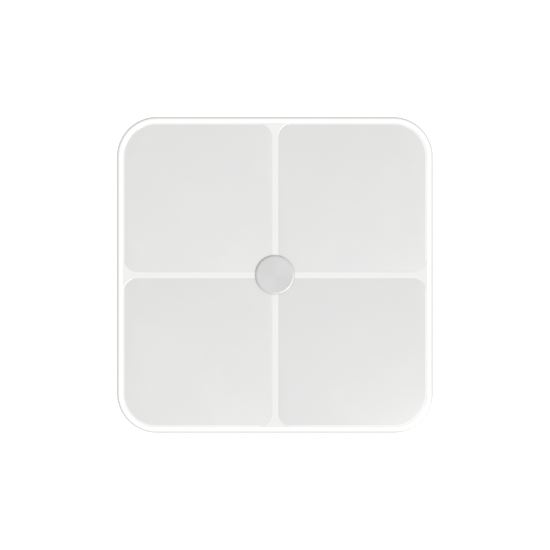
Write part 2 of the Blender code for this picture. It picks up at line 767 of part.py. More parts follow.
def board_hole_places():
    x = BOARD_HALF_WIDTH - BOARD_HOLE_INSET
    return {
        "front_left": (-x, BOARD_ENDS[0] + BOARD_HOLE_INSET),
        "front_right": (x, BOARD_ENDS[0] + BOARD_HOLE_INSET),
        "rear_left": (-x, BOARD_ENDS[1] - BOARD_HOLE_INSET),
        "rear_right": (x, BOARD_ENDS[1] - BOARD_HOLE_INSET),
    }


def board_bosses():
    top = BOARD_BOTTOM - GAP
    return [
        cylinder(f"board_boss_{corner}", BOSS_RADIUS, INNER_FLOOR - OVERLAP, top, place, PIN_STEPS)
        for corner, place in board_hole_places().items()
    ]


def boss_holes():
    top = BOARD_BOTTOM - GAP
    bottom = top - BOSS_HOLE_DEPTH
    return [
        cylinder(f"boss_hole_{corner}", BOSS_HOLE_RADIUS, bottom, top + OVERLAP, place, PIN_STEPS)
        for corner, place in board_hole_places().items()
    ]


def foot_holes():
    radius = FOOT_NECK_RADIUS + FOOT_HOLE_CLEARANCE

    def hole(corner, x, y):
        return cylinder(f"foot_hole_{corner}", radius, TRAY_CLEARANCE - OVERLAP, INNER_FLOOR + GAP, (x, y))

    return at_feet(hole)


def button_hole():
    return cylinder(
        "button_hole",
        BUTTON_RADIUS + DOOR_CLEARANCE,
        TRAY_CLEARANCE - OVERLAP,
        INNER_FLOOR + OVERLAP,
        BUTTON_PLACE,
    )


def label_recess():
    outline = rounded_box_outline(
        LABEL_SIZE[0] + 2 * GAP, LABEL_SIZE[1] + 2 * GAP, LABEL_CORNER + GAP, LABEL_PLACE, SMALL_ARC_STEPS
    )
    recess = flat_plate("label_recess", [outline], TRAY_CLEARANCE - OVERLAP, TRAY_CLEARANCE + LABEL_RECESS)
    return as_mesh(recess)


def make_label():
    outline = rounded_box_outline(*LABEL_SIZE, LABEL_CORNER, LABEL_PLACE, SMALL_ARC_STEPS)
    top = TRAY_CLEARANCE + LABEL_RECESS - GAP
    flat_plate("rating_label", [outline], top - LABEL_THICKNESS, top, "label")


# ---------------------------------------------------------------- feet and load cells
def make_feet():
    plate_bottom = PAD_PROUD
    recess = PAD_THICKNESS + GAP
    plate_top = TRAY_CLEARANCE - FOOT_TRAVEL - 0.1 * MM
    lip_bottom = INNER_FLOOR + GAP
    lip_top = lip_bottom + FOOT_LIP_HEIGHT
    post_top = CELL_BOTTOM - FOOT_TRAVEL - 0.1 * MM
    neck_inside = FOOT_NECK_RADIUS - FOOT_NECK_WALL
    groove = plate_top + 0.4 * MM
    profile = [
        (0.0, post_top),
        (FOOT_POST_RADIUS, post_top),
        (FOOT_POST_RADIUS, groove),
        (neck_inside, groove),
        (neck_inside, lip_top),
        (FOOT_NECK_RADIUS + FOOT_LIP * 0.3, lip_top),
        (FOOT_NECK_RADIUS + FOOT_LIP, lip_bottom + FOOT_LIP_HEIGHT * 0.3),
        (FOOT_NECK_RADIUS + FOOT_LIP, lip_bottom),
        (FOOT_NECK_RADIUS, lip_bottom),
        (FOOT_NECK_RADIUS, plate_top),
        (FOOT_RADIUS - 0.8 * MM, plate_top),
        (FOOT_RADIUS, plate_top - 0.8 * MM),
        (FOOT_RADIUS - 0.4 * MM, plate_bottom),
        (PAD_RADIUS + GAP, plate_bottom),
        (PAD_RADIUS + GAP, recess),
        (0.0, recess),
    ]
    cap = turned("foot_cap", profile)
    slot_low, slot_high = groove + 0.4 * MM, lip_top + OVERLAP
    reach = FOOT_NECK_RADIUS + FOOT_LIP + OVERLAP
    start = (FOOT_POST_RADIUS + neck_inside) / 2
    middle, length = (start + reach) / 2, reach - start
    height, tall = (slot_low + slot_high) / 2, slot_high - slot_low
    places = []
    for way in (-1, 1):
        places.append(((length, CLAW_SLOT, tall), (way * middle, 0.0, height)))
        places.append(((CLAW_SLOT, length, tall), (0.0, way * middle, height)))
    cut(cap, boxes("claw_slots", places))
    place_at_feet(cap, "shell")

    chamfer = 0.5 * MM
    pad_profile = [
        (0.0, PAD_THICKNESS),
        (PAD_RADIUS, PAD_THICKNESS),
        (PAD_RADIUS, chamfer),
        (PAD_RADIUS - chamfer, 0.0),
        (0.0, 0.0),
    ]
    place_at_feet(turned("foot_pad", pad_profile), "rubber")


def make_load_cells():
    frame = rounded_box_outline(CELL_SIDE, CELL_SIDE, CELL_CORNER, steps=SMALL_ARC_STEPS)
    half_tongue = CELL_TONGUE / 2
    half_slot = half_tongue + CELL_SLOT
    tip = -CELL_SLOT_TIP
    slot = [
        (CELL_SLOT_ROOT, half_slot),
        (tip, half_slot),
        (tip, -half_slot),
        (CELL_SLOT_ROOT, -half_slot),
        (CELL_SLOT_ROOT, -half_tongue),
        (tip + CELL_SLOT, -half_tongue),
        (tip + CELL_SLOT, half_tongue),
        (CELL_SLOT_ROOT, half_tongue),
    ]
    cell = flat_plate("load_cell", [frame, slot], CELL_BOTTOM, CELL_TOP)
    place_at_feet(cell, "steel")

    long, wide, thick = GAUGE_SIZE
    bottom = CELL_TOP + GAP
    gauge = block(
        "strain_gauge",
        (GAUGE_X - long / 2, -wide / 2, bottom),
        (GAUGE_X + long / 2, wide / 2, bottom + thick),
    )
    place_at_feet(gauge, "label")


def make_clamps():
    """A three-sided frame over each load cell, open where the cable leaves."""
    long, wide = CLAMP_SIZE
    clamp = block("cell_clamp", (-long / 2, -wide / 2, CLAMP_BOTTOM), (long / 2, wide / 2, CLAMP_TOP))
    window = block(
        "clamp_window",
        (-long / 2 + CLAMP_BAR, -CLAMP_WINDOW / 2, CLAMP_BOTTOM - OVERLAP),
        (long / 2 + OVERLAP, CLAMP_WINDOW / 2, CLAMP_TOP + OVERLAP),
    )
    cut(clamp, window)
    low, high = CLAMP_BOTTOM - OVERLAP, CLAMP_TOP + OVERLAP
    for name, way in (("a", -1), ("b", 1)):
        place = (0.0, way * CLAMP_POST_Y)
        ear = cylinder(f"ear_{name}", CLAMP_EAR_RADIUS, CLAMP_BOTTOM, CLAMP_TOP, place, PIN_STEPS)
        hole = cylinder(f"ear_hole_{name}", CLAMP_POST_RADIUS + GAP, low, high, place, PIN_STEPS)
        join(clamp, ear)
        cut(clamp, hole)
    place_at_feet(clamp, "shell")


# ---------------------------------------------------------------- batteries and contacts
def battery_y(index):
    """Battery 0 is the rearmost."""
    return BAY_Y + ((CELL_COUNT - 1) / 2 - index) * BATTERY_PITCH


def battery_way(index):
    """+1 where the battery's nub points to +X. Neighbours point opposite ways."""
    return 1 if index % 2 == 0 else -1


def make_batteries():
    can = BATTERY_LENGTH - NUB_LENGTH
    rim = 0.6 * MM
    profile = [
        (0.0, BATTERY_LENGTH),
        (NUB_RADIUS, BATTERY_LENGTH),
        (NUB_RADIUS, can),
        (BATTERY_RADIUS - rim, can),
        (BATTERY_RADIUS, can - rim),
        (BATTERY_RADIUS, rim),
        (BATTERY_RADIUS - rim, 0.0),
        (0.0, 0.0),
    ]
    for index in range(CELL_COUNT):
        way = battery_way(index)
        battery = turned(f"battery_{index + 1}", profile, "battery")
        battery.rotation_euler = (0.0, way * pi / 2, 0.0)
        nub_end = PLATE_X - GAP
        battery.location = (way * (nub_end - BATTERY_LENGTH), battery_y(index), BATTERY_Z)


def contact_plate(name, side, y_low, y_high):
    """A plate upright against an end wall of the bay. side is -1 at the left."""
    near, far = side * PLATE_X, side * (PLATE_X + CONTACT_THICKNESS)
    half = CONTACT_SIDE / 2
    return block(
        name,
        (min(near, far), y_low - half, BATTERY_Z - half),
        (max(near, far), y_high + half, BATTERY_Z + half),
        "spring",
    )


def contact_spring(name, side, y):
    """A conical coil from the plate to the flat end of a battery."""
    count = SPRING_TURNS * SPRING_STEPS
    sunk = SPRING_WIRE * 0.4
    travel = SPRING_LENGTH - GAP - SPRING_WIRE + sunk
    points = []
    for step in range(count + 1):
        share = step / count
        along = max(0.0, (share - 0.12) / 0.88)
        radius = SPRING_BASE_RADIUS + (SPRING_TIP_RADIUS - SPRING_BASE_RADIUS) * along
        angle = 2 * pi * SPRING_TURNS * share
        depth = PLATE_X + sunk - SPRING_WIRE - travel * along
        points.append((side * depth, y + radius * cos(angle), BATTERY_Z + radius * sin(angle)))
    return as_mesh(tube(name, points, SPRING_WIRE, sides_level=1))


def contact_tail(name, side, y):
    """A solder tail through the end wall."""
    length, width = CONTACT_TAIL
    start = PLATE_X + CONTACT_THICKNESS / 2
    low = BATTERY_Z + CONTACT_TAIL_RISE
    ends = sorted((side * start, side * (start + length)))
    return block(
        name, (ends[0], y - width / 2, low), (ends[1], y + width / 2, low + CONTACT_THICKNESS)
    )


def make_battery_contacts():
    """The first battery's nub is the pack's plus, and the last one's flat end is its minus."""
    first, second, last = (battery_y(i) for i in range(CELL_COUNT))
    plus = contact_plate("battery_contact_plus", 1, first, first)
    join(plus, contact_tail("plus_tail", 1, first))
    minus = contact_plate("battery_contact_minus", -1, last, last)
    join(minus, contact_tail("minus_tail", -1, last), contact_spring("minus_spring", -1, last))
    left = contact_plate("battery_bridge_left", -1, second, first)
    join(left, contact_spring("left_spring", -1, first))
    right = contact_plate("battery_bridge_right", 1, last, second)
    join(right, contact_spring("right_spring", 1, second))


# ---------------------------------------------------------------- battery door
def make_door():
    """A snap-in lid. Two tabs hook over the tray's floor at the rear, and a latch closes the front."""
    size_x = 2 * (OPENING_HALF_X - DOOR_CLEARANCE)
    size_y = 2 * (OPENING_HALF_Y - DOOR_CLEARANCE)
    outline = rounded_box_outline(size_x, size_y, DOOR_CORNER, (0.0, BAY_Y), SMALL_ARC_STEPS)
    door = as_mesh(flat_plate("battery_door", [outline], TRAY_CLEARANCE, DOOR_TOP), "shell")
    hinge = Vector((0.0, DOOR_HINGE_Y, TRAY_CLEARANCE))
    door.data.transform(Matrix.Translation(-hinge))
    door.location = hinge
    tab_low = INNER_FLOOR + GAP
    tab_high = tab_low + TAB_THICKNESS
    for name, side in (("left", -1), ("right", 1)):
        left, right = side * TAB_X - TAB_WIDTH / 2, side * TAB_X + TAB_WIDTH / 2
        riser = block(
            f"tab_riser_{name}",
            (left, TAB_FRONT, DOOR_TOP - OVERLAP / 2),
            (right, TAB_FRONT + TAB_RISER, tab_high),
        )
        lip = block(
            f"tab_lip_{name}",
            (left, TAB_FRONT, tab_low),
            (right, OPENING_REAR + TAB_LAP, tab_high),
        )
        join(riser, lip)
        join(door, riser)
    front = BAY_Y - size_y / 2
    arm = block(
        "latch_arm",
        (-LATCH_WIDTH / 2, LATCH_ARM_Y - LATCH_ARM / 2, DOOR_TOP - OVERLAP / 2),
        (LATCH_WIDTH / 2, LATCH_ARM_Y + LATCH_ARM / 2, TRAY_CLEARANCE + LATCH_HEIGHT),
    )
    join(door, arm)
    slot_x = LATCH_WIDTH / 2 + LATCH_SLOT / 2
    slots = [
        (
            (LATCH_SLOT, LATCH_LENGTH, 4 * DOOR_THICKNESS),
            (side * slot_x, front + LATCH_LENGTH / 2 - OVERLAP, TRAY_CLEARANCE),
        )
        for side in (-1, 1)
    ]
    cut(door, boxes("latch_slots", slots))
    grooves = [
        (
            (LATCH_WIDTH * 0.7, GRIP_GROOVE, GRIP_GROOVE),
            (0.0, front + (index + 1) * 2 * GRIP_GROOVE, TRAY_CLEARANCE),
        )
        for index in range(GRIP_GROOVES)
    ]
    cut(door, boxes("grip_grooves", grooves))
    return door


# ---------------------------------------------------------------- board and what is on it
def make_board():
    front, rear = BOARD_ENDS
    outline = rounded_outline(
        -BOARD_HALF_WIDTH, BOARD_HALF_WIDTH, front, rear, [BOARD_CORNER] * 4, SMALL_ARC_STEPS
    )
    holes = []
    for x, y in board_hole_places().values():
        turns = [2 * pi * step / PIN_STEPS for step in range(PIN_STEPS)]
        holes.append([(x + BOARD_HOLE_RADIUS * cos(a), y + BOARD_HOLE_RADIUS * sin(a)) for a in turns])
    flat_plate("main_board", [outline, *holes], BOARD_BOTTOM, BOARD_TOP, "board")


def screw_profile(head_radius, head_height, radius, length):
    """A pan head above a plain shank, with its seat at height 0."""
    return [
        (0.0, head_height),
        (head_radius * 0.7, head_height),
        (head_radius, head_height * 0.5),
        (head_radius, 0.0),
        (radius, 0.0),
        (radius, -length),
        (0.0, -length),
    ]


def make_board_screws():
    profile = screw_profile(SCREW_HEAD_RADIUS, SCREW_HEAD_HEIGHT, SCREW_RADIUS, SCREW_LENGTH)
    screw = turned("board_screw", profile, steps=PIN_STEPS)
    slot = boxes(
        "board_screw_slot",
        [((SCREW_HEAD_RADIUS * 1.2, 0.5 * MM, 0.8 * MM), (0.0, 0.0, SCREW_HEAD_HEIGHT))],
    )
    cut(screw, slot)
    pattern = as_mesh(screw, "steel")
    for corner, (x, y) in board_hole_places().items():
        copy = bpy.data.objects.new(f"board_screw_{corner}", pattern.data)
        PARTS.objects.link(copy)
        copy.location = (x, y, ON_BOARD)
    bpy.data.objects.remove(pattern)


def standing_block(name, size, place, bottom, material=None):
    """A box of this size, centred over a place and standing at a height."""
    long, wide, tall = size
    x, y = place
    return boxes(name, [((long, wide, tall), (x, y, bottom + tall / 2))], material)


def make_chips():
    chip = standing_block("controller_chip", CHIP_SIZE, CHIP_PLACE, ON_BOARD, "chip")
    bevel = chip.modifiers.new("edges", "BEVEL")
    bevel.width = CHIP_BEVEL
    bevel.segments = 1

    radio = standing_block("radio_module", RADIO_SIZE, RADIO_PLACE, ON_BOARD, "board")
    x, y = RADIO_PLACE
    can_y = y - (RADIO_SIZE[1] - RADIO_CAN[1]) / 2 + RADIO_CAN_MARGIN
    can_bottom = ON_BOARD + RADIO_SIZE[2] / 2
    join(radio, standing_block("radio_can", RADIO_CAN, (x, can_y), can_bottom))


def make_display():
    """A reflector block with a well for each segment of its digits, and a film on top."""
    x, y = DISPLAY_PLACE
    film_bottom = GLASS_BOTTOM - GAP - DIFFUSER_THICKNESS
    frame_height = film_bottom - GAP - ON_BOARD
    frame = standing_block(
        "display_frame", (*DISPLAY_SIZE, frame_height), DISPLAY_PLACE, ON_BOARD, "shell"
    )
    tall = frame_height + 2 * OVERLAP
    height = ON_BOARD + frame_height / 2
    step = (SEGMENT_LENGTH + SEGMENT_WIDTH) / 2 + SEGMENT_GAP / 2
    wells = []
    for digit in range(DIGIT_COUNT):
        centre = x + (digit - (DIGIT_COUNT - 1) / 2) * DIGIT_PITCH
        for row in (-1, 0, 1):
            wells.append(((SEGMENT_LENGTH, SEGMENT_WIDTH, tall), (centre, y + 2 * row * step, height)))
        for column in (-1, 1):
            for row in (-1, 1):
                place = (centre + column * step, y + row * step, height)
                wells.append(((SEGMENT_WIDTH, SEGMENT_LENGTH, tall), place))
    cut(frame, boxes("segment_wells", wells))
    film = (*DISPLAY_SIZE, DIFFUSER_THICKNESS)
    standing_block("display_diffuser", film, DISPLAY_PLACE, film_bottom, "diffuser")


# ---------------------------------------------------------------- unit button
def make_button():
    flange_bottom = INNER_FLOOR + GAP
    flange_top = flange_bottom + BUTTON_FLANGE_HEIGHT
    bottom = TRAY_CLEARANCE + BUTTON_RECESS
    dish = 0.4 * MM
    profile = [
        (0.0, flange_top),
        (BUTTON_RADIUS + BUTTON_FLANGE, flange_top),
        (BUTTON_RADIUS + BUTTON_FLANGE, flange_bottom),
        (BUTTON_RADIUS, flange_bottom),
        (BUTTON_RADIUS, bottom + dish),
        (BUTTON_RADIUS - dish, bottom),
        (BUTTON_RADIUS * 0.6, bottom),
        (0.0, bottom + dish),
    ]
    button = turned("unit_button", profile, "shell")
    button.location = (*BUTTON_PLACE, 0.0)

    x, y = BUTTON_PLACE
    top = BOARD_BOTTOM - GAP
    body_bottom = top - SWITCH_HEIGHT
    half = SWITCH_SIDE / 2
    switch = block("unit_switch", (x - half, y - half, body_bottom), (x + half, y + half, top), "chip")
    plunger_bottom = flange_top + BUTTON_TRAVEL + GAP
    join(
        switch,
        cylinder("switch_plunger", PLUNGER_RADIUS, plunger_bottom, body_bottom + OVERLAP, BUTTON_PLACE),
    )


# ---------------------------------------------------------------- hub, cap and electrode contacts
def make_cap():
    top = GLASS_TOP + CAP_HEIGHT
    rim_bottom = GLASS_TOP + GAP
    roof = top - CAP_ROOF
    spigot_bottom = HUB_WEB_TOP + GAP
    bore = CAP_SCREW_RADIUS + GAP
    bore_top = SCREW_HEAD_BOTTOM + CAP_SCREW_HEAD_HEIGHT + CAP_SCREW_LENGTH + GAP
    profile = [
        (0.0, top),
        (CAP_RADIUS - CAP_CHAMFER, top),
        (CAP_RADIUS - CAP_CHAMFER * 0.3, top - CAP_CHAMFER * 0.25),
        (CAP_RADIUS, top - CAP_CHAMFER * 0.8),
        (CAP_RADIUS, rim_bottom),
        (CAP_RADIUS - CAP_RIM, rim_bottom),
        (CAP_RADIUS - CAP_RIM, roof),
        (SPIGOT_RADIUS, roof),
        (SPIGOT_RADIUS, spigot_bottom),
        (bore, spigot_bottom),
        (bore, bore_top),
        (0.0, bore_top),
    ]
    turned("centre_cap", profile, "cap", steps=2 * TURN_STEPS)


def make_hub():
    flange_top = GLASS_BOTTOM - GAP
    flange_bottom = flange_top - HUB_FLANGE_THICKNESS
    head_room = CAP_SCREW_HEAD_RADIUS + 2 * GAP
    profile = [
        (HUB_RADIUS, GLASS_TOP),
        (HUB_RADIUS, flange_top),
        (HUB_FLANGE_RADIUS, flange_top),
        (HUB_FLANGE_RADIUS, flange_bottom),
        (HUB_SKIRT_RADIUS, flange_bottom),
        (HUB_SKIRT_RADIUS, HUB_SKIRT_BOTTOM),
        (head_room, HUB_SKIRT_BOTTOM),
        (head_room, HUB_WEB_BOTTOM),
        (CAP_SCREW_RADIUS + GAP, HUB_WEB_BOTTOM),
        (CAP_SCREW_RADIUS + GAP, HUB_WEB_TOP),
        (SPIGOT_RADIUS + GAP, HUB_WEB_TOP),
        (SPIGOT_RADIUS + GAP, GLASS_TOP),
    ]
    hub = turned("centre_hub", profile, "shell", ring=True)
    depth = LEAF_THICKNESS + 2 * LEAF_CLEARANCE
    width = LEAF_WIDTH + 2 * LEAF_CLEARANCE
    middle = LEAF_LEG_RADIUS + LEAF_THICKNESS / 2
    low, high = HUB_SKIRT_BOTTOM - OVERLAP, GLASS_TOP + OVERLAP
    bm = bmesh.new()
    for turn in range(4):
        spin = Matrix.Rotation(pi / 4 + turn * pi / 2, 4, "Z")
        shape = Matrix.Translation((middle, 0.0, (low + high) / 2)) @ Matrix.Diagonal(
            (depth, width, high - low, 1.0)
        )
        bmesh.ops.create_cube(bm, size=1.0, matrix=spin @ shape)
    cut(hub, mesh_object("contact_slots", bm))


def make_cap_screw():
    seat = SCREW_HEAD_BOTTOM + CAP_SCREW_HEAD_HEIGHT
    profile = screw_profile(
        CAP_SCREW_HEAD_RADIUS, CAP_SCREW_HEAD_HEIGHT, CAP_SCREW_RADIUS, CAP_SCREW_LENGTH
    )
    screw = turned("cap_screw", profile, "steel", steps=PIN_STEPS)
    slot = boxes(
        "cap_screw_slot",
        [((CAP_SCREW_HEAD_RADIUS * 1.2, 0.6 * MM, 0.9 * MM), (0.0, 0.0, CAP_SCREW_HEAD_HEIGHT))],
    )
    cut(screw, slot)
    made = as_mesh(screw, "steel")
    made.rotation_euler.x = pi
    made.location.z = seat


def make_electrode_contacts():
    """A bent strip from each coated zone down through the hub to the board."""
    outline = [
        (LEAF_LEG_RADIUS, LEAF_BOTTOM + LEAF_THICKNESS),
        (LEAF_REACH, LEAF_BOTTOM + LEAF_THICKNESS),
        (LEAF_REACH, LEAF_BOTTOM),
        (LEAF_LEG_RADIUS + LEAF_THICKNESS, LEAF_BOTTOM),
        (LEAF_LEG_RADIUS + LEAF_THICKNESS, ON_BOARD + LEAF_THICKNESS),
        (LEAF_LEG_RADIUS + LEAF_FOOT, ON_BOARD + LEAF_THICKNESS),
        (LEAF_LEG_RADIUS + LEAF_FOOT, ON_BOARD),
        (LEAF_LEG_RADIUS, ON_BOARD),
    ]
    strip = flat_plate("electrode_contact", [outline], -LEAF_WIDTH / 2, LEAF_WIDTH / 2)
    strip.location = (0.0, 0.0, 0.0)
    strip.rotation_euler.x = pi / 2
    pattern = as_mesh(strip, "spring")
    for corner, (side_x, side_y) in CORNERS.items():
        copy = bpy.data.objects.new(f"electrode_contact_{corner}", pattern.data)
        PARTS.objects.link(copy)
        copy.rotation_euler.z = Vector((1.0, 0.0)).angle_signed(Vector((side_x, -side_y)))
    bpy.data.objects.remove(pattern)


# ---------------------------------------------------------------- wiring
def make_cell_cables():
    """From each strain gauge over its pocket's wall, along the tray and up on the board."""
    start_x = FOOT_AT - GAUGE_X - GAUGE_SIZE[0] / 2 - GAP
    over_wall = INNER_FLOOR + POCKET_HEIGHT + GAP + CABLE_RADIUS
    along = INNER_FLOOR + GAP + CABLE_RADIUS
    on_board = ON_BOARD + CABLE_RADIUS
    gauge_z = CELL_TOP + GAP + CABLE_RADIUS
    wall_x = FOOT_AT - CELL_SIDE / 2
    for corner, (side_x, side_y) in CORNERS.items():
        end_y = FRONT_CABLE_END_Y if side_y < 0 else REAR_CABLE_END_Y
        foot_y = side_y * FOOT_AT
        route = [
            (start_x, foot_y, gauge_z),
            (wall_x, foot_y, max(over_wall, gauge_z)),
            (wall_x - 8 * MM, foot_y - side_y * 2 * MM, along + 1.6 * MM),
            (wall_x - 18 * MM, foot_y - side_y * 8 * MM, along),
            (BOARD_HALF_WIDTH + CABLE_FAR, (foot_y + end_y) / 2, along),
            (BOARD_HALF_WIDTH + CABLE_NEAR, end_y + side_y * 6 * MM, along),
            (BOARD_HALF_WIDTH + 6 * MM, end_y, (along + on_board) / 2),
            (BOARD_HALF_WIDTH + 1 * MM, end_y, on_board),
            (BOARD_HALF_WIDTH - WIRE_OVER_BOARD, end_y, on_board),
        ]
        points = smooth_route([(side_x * x, y, z) for x, y, z in route], ROUTE_STEPS)
        tube(f"cell_cable_{corner}", points, CABLE_RADIUS, "wire")


def make_battery_leads():
    """From the pack's two solder tails up on the board."""
    tail_end = PLATE_X + CONTACT_THICKNESS / 2 + CONTACT_TAIL[0]
    tail_z = BATTERY_Z + CONTACT_TAIL_RISE + CONTACT_THICKNESS / 2
    along = INNER_FLOOR + LEDGE_THICKNESS + GAP + LEAD_RADIUS
    on_board = ON_BOARD + LEAD_RADIUS
    beside = max(BOARD_HALF_WIDTH + LEAD_BESIDE_BOARD, tail_end + LEAD_BESIDE_TAIL)
    for name, side, y, material in (
        ("battery_lead_plus", 1, battery_y(0), "lead_red"),
        ("battery_lead_minus", -1, battery_y(CELL_COUNT - 1), "lead_black"),
    ):
        route = [
            (tail_end + GAP, y, tail_z),
            (tail_end + 3.5 * MM, y + 1.5 * MM, tail_z - 1.5 * MM),
            (tail_end + 6 * MM, y + 6 * MM, along + 1 * MM),
            (beside, (y + LEAD_END_Y) / 2, along),
            (beside + 1 * MM, LEAD_END_Y - 8 * MM, along + 1 * MM),
            (BOARD_HALF_WIDTH + 2.5 * MM, LEAD_END_Y - 1 * MM, on_board - 1.5 * MM),
            (BOARD_HALF_WIDTH, LEAD_END_Y, on_board),
            (BOARD_HALF_WIDTH - WIRE_OVER_BOARD, LEAD_END_Y, on_board),
        ]
        points = smooth_route([(side * x, wire_y, z) for x, wire_y, z in route], ROUTE_STEPS)
        tube(name, points, LEAD_RADIUS, material)


make_glass()
make_electrodes()
make_tape()
make_tray()
make_label()
make_feet()
make_load_cells()
make_clamps()
make_batteries()
make_battery_contacts()
make_door()
make_board()
make_board_screws()
make_chips()
make_display()
make_button()
make_cap()
make_hub()
make_cap_screw()
make_electrode_contacts()
make_cell_cables()
make_battery_leads()
bpy.context.view_layer.update()
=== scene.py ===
import json
import math

import bpy
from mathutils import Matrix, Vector


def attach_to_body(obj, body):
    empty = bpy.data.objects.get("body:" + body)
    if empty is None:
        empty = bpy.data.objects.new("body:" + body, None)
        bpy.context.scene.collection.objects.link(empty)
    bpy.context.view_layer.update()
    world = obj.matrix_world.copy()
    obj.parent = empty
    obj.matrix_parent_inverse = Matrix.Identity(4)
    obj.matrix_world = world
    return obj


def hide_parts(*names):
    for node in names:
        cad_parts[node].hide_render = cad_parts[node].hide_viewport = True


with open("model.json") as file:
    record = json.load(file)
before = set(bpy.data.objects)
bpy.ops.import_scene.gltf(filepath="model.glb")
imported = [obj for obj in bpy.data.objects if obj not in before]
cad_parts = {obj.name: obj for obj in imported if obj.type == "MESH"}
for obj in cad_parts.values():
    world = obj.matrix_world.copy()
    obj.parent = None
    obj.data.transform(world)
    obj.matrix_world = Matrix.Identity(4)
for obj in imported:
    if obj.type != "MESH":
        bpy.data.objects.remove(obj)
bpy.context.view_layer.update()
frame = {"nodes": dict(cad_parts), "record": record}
nodes = frame["nodes"]
mm = 0.001
print("frame loaded:", len(nodes), "nodes")


# Every length in the dictionaries is in millimetres.
scale = {"half": 150.0, "corner": 38.0, "top": 25.2, "under": 20.2}
cornerMiddle = scale["half"] - scale["corner"]
footMiddle = 106.0
corners = {
    "front_left": (-1, -1),
    "front_right": (1, -1),
    "rear_left": (-1, 1),
    "rear_right": (1, 1),
}


# The camera looks straight down; a broad soft light comes from the front right.
view = {"height": 1472.0, "lens": 100.0, "sensor": 36.0}
studio = {
    "worldTop": 0.82,
    "worldSide": 0.72,
    "keyPower": 1.75,
    "keySoftness": 40.0,
    "keyFrom": (0.50, -0.46, 0.86),
    "floorGlow": 0.70,
    "floorSpill": 0.24,
    "backdrop": 1.35,
    "floorColour": (0.72, 0.72, 0.72, 1),
    "floorSize": 12000.0,
}

cameraData = bpy.data.cameras.new("overheadCamera")
cameraData.lens = view["lens"]
cameraData.sensor_width = view["sensor"]
cameraData.clip_start = 0.05
camera = bpy.data.objects.new("overheadCamera", cameraData)
bpy.context.scene.collection.objects.link(camera)
camera.location = (0, 0, view["height"] * mm)
bpy.context.scene.camera = camera
bpy.context.scene.view_settings.view_transform = "Standard"

world = bpy.data.worlds.new("studio")
bpy.context.scene.world = world
world.use_nodes = True
sky = world.node_tree.nodes
sky.clear()
skyWay = sky.new("ShaderNodeTexCoord")
skyHeight = sky.new("ShaderNodeSeparateXYZ")
skyBlend = sky.new("ShaderNodeMapRange")
skyLight = sky.new("ShaderNodeBackground")
skyOut = sky.new("ShaderNodeOutputWorld")
skyBlend.inputs["From Min"].default_value = 0.0
skyBlend.inputs["From Max"].default_value = 0.9
skyBlend.inputs["To Min"].default_value = studio["worldSide"]
skyBlend.inputs["To Max"].default_value = studio["worldTop"]
world.node_tree.links.new(skyWay.outputs["Generated"], skyHeight.inputs[0])
world.node_tree.links.new(skyHeight.outputs["Z"], skyBlend.inputs["Value"])
skyRays = sky.new("ShaderNodeLightPath")
skySeen = sky.new("ShaderNodeMix")
skySeen.inputs["B"].default_value = studio["backdrop"]
world.node_tree.links.new(skyRays.outputs["Is Camera Ray"], skySeen.inputs["Factor"])
world.node_tree.links.new(skyBlend.outputs[0], skySeen.inputs["A"])
world.node_tree.links.new(skySeen.outputs[0], skyLight.inputs["Strength"])
world.node_tree.links.new(skyLight.outputs[0], skyOut.inputs["Surface"])

keyData = bpy.data.lights.new("keyLight", "SUN")
keyData.energy = studio["keyPower"]
keyData.angle = math.radians(studio["keySoftness"])
keyLight = bpy.data.objects.new("keyLight", keyData)
bpy.context.scene.collection.objects.link(keyLight)
keyLight.rotation_euler = Vector(studio["keyFrom"]).to_track_quat("Z", "Y").to_euler()


# Working helpers.
def deselectAll():
    if bpy.context.object and bpy.context.object.mode != "OBJECT":
        bpy.ops.object.mode_set(mode="OBJECT")
    for thing in bpy.context.selected_objects:
        thing.select_set(False)


def activate(piece):
    deselectAll()
    piece.select_set(True)
    bpy.context.view_layer.objects.active = piece


# Selects corners, edges or faces by a test on their places in millimetres, and stays in edit mode.
def pick(piece, kind, test):
    activate(piece)
    bpy.ops.object.mode_set(mode="EDIT")
    bpy.ops.mesh.select_mode(type=kind)
    bpy.ops.mesh.select_all(action="DESELECT")
    bpy.ops.object.mode_set(mode="OBJECT")
    mesh = piece.data
    if kind == "VERT":
        for point in mesh.vertices:
            point.select = test(point.co / mm)
    elif kind == "EDGE":
        for line in mesh.edges:
            first, second = (mesh.vertices[i].co / mm for i in line.vertices)
            line.select = test(first, second)
    else:
        for face in mesh.polygons:
            face.select = test(face.center / mm, face.normal)
    bpy.ops.object.mode_set(mode="EDIT")


def leaveEdit():
    bpy.ops.object.mode_set(mode="OBJECT")


def applyPlace(piece):
    activate(piece)
    bpy.ops.object.transform_apply(location=True, rotation=True, scale=True)
    return piece


def addBlock(name, low, high):
    deselectAll()
    size = [(b - a) * mm for a, b in zip(low, high)]
    middle = [(a + b) / 2 * mm for a, b in zip(low, high)]
    bpy.ops.mesh.primitive_cube_add(size=1, location=middle, scale=size)
    piece = bpy.context.object
    piece.name = piece.data.name = name
    return applyPlace(piece)


def addRod(name, radius, low, high, place=(0, 0), sides=48):
    deselectAll()
    bpy.ops.mesh.primitive_cylinder_add(
        vertices=sides,
        radius=radius * mm,
        depth=(high - low) * mm,
        location=(place[0] * mm, place[1] * mm, (low + high) / 2 * mm),
    )
    piece = bpy.context.object
    piece.name = piece.data.name = name
    return applyPlace(piece)


# Rounds the edges that pass a test, or those round the faces that pass it.
def roundPicked(piece, kind, radius, steps, test):
    pick(piece, kind, test)
    bpy.ops.mesh.bevel(offset=radius * mm, segments=steps, affect="EDGES")
    leaveEdit()
    return piece


# Rounds the upright edges of a block whose places pass the test.
def roundUpright(piece, radius, steps, test=lambda x, y: True):
    near = 0.001
    return roundPicked(
        piece,
        "EDGE",
        radius,
        steps,
        lambda a, b: abs(a.x - b.x) < near and abs(a.y - b.y) < near and test(a.x, a.y),
    )


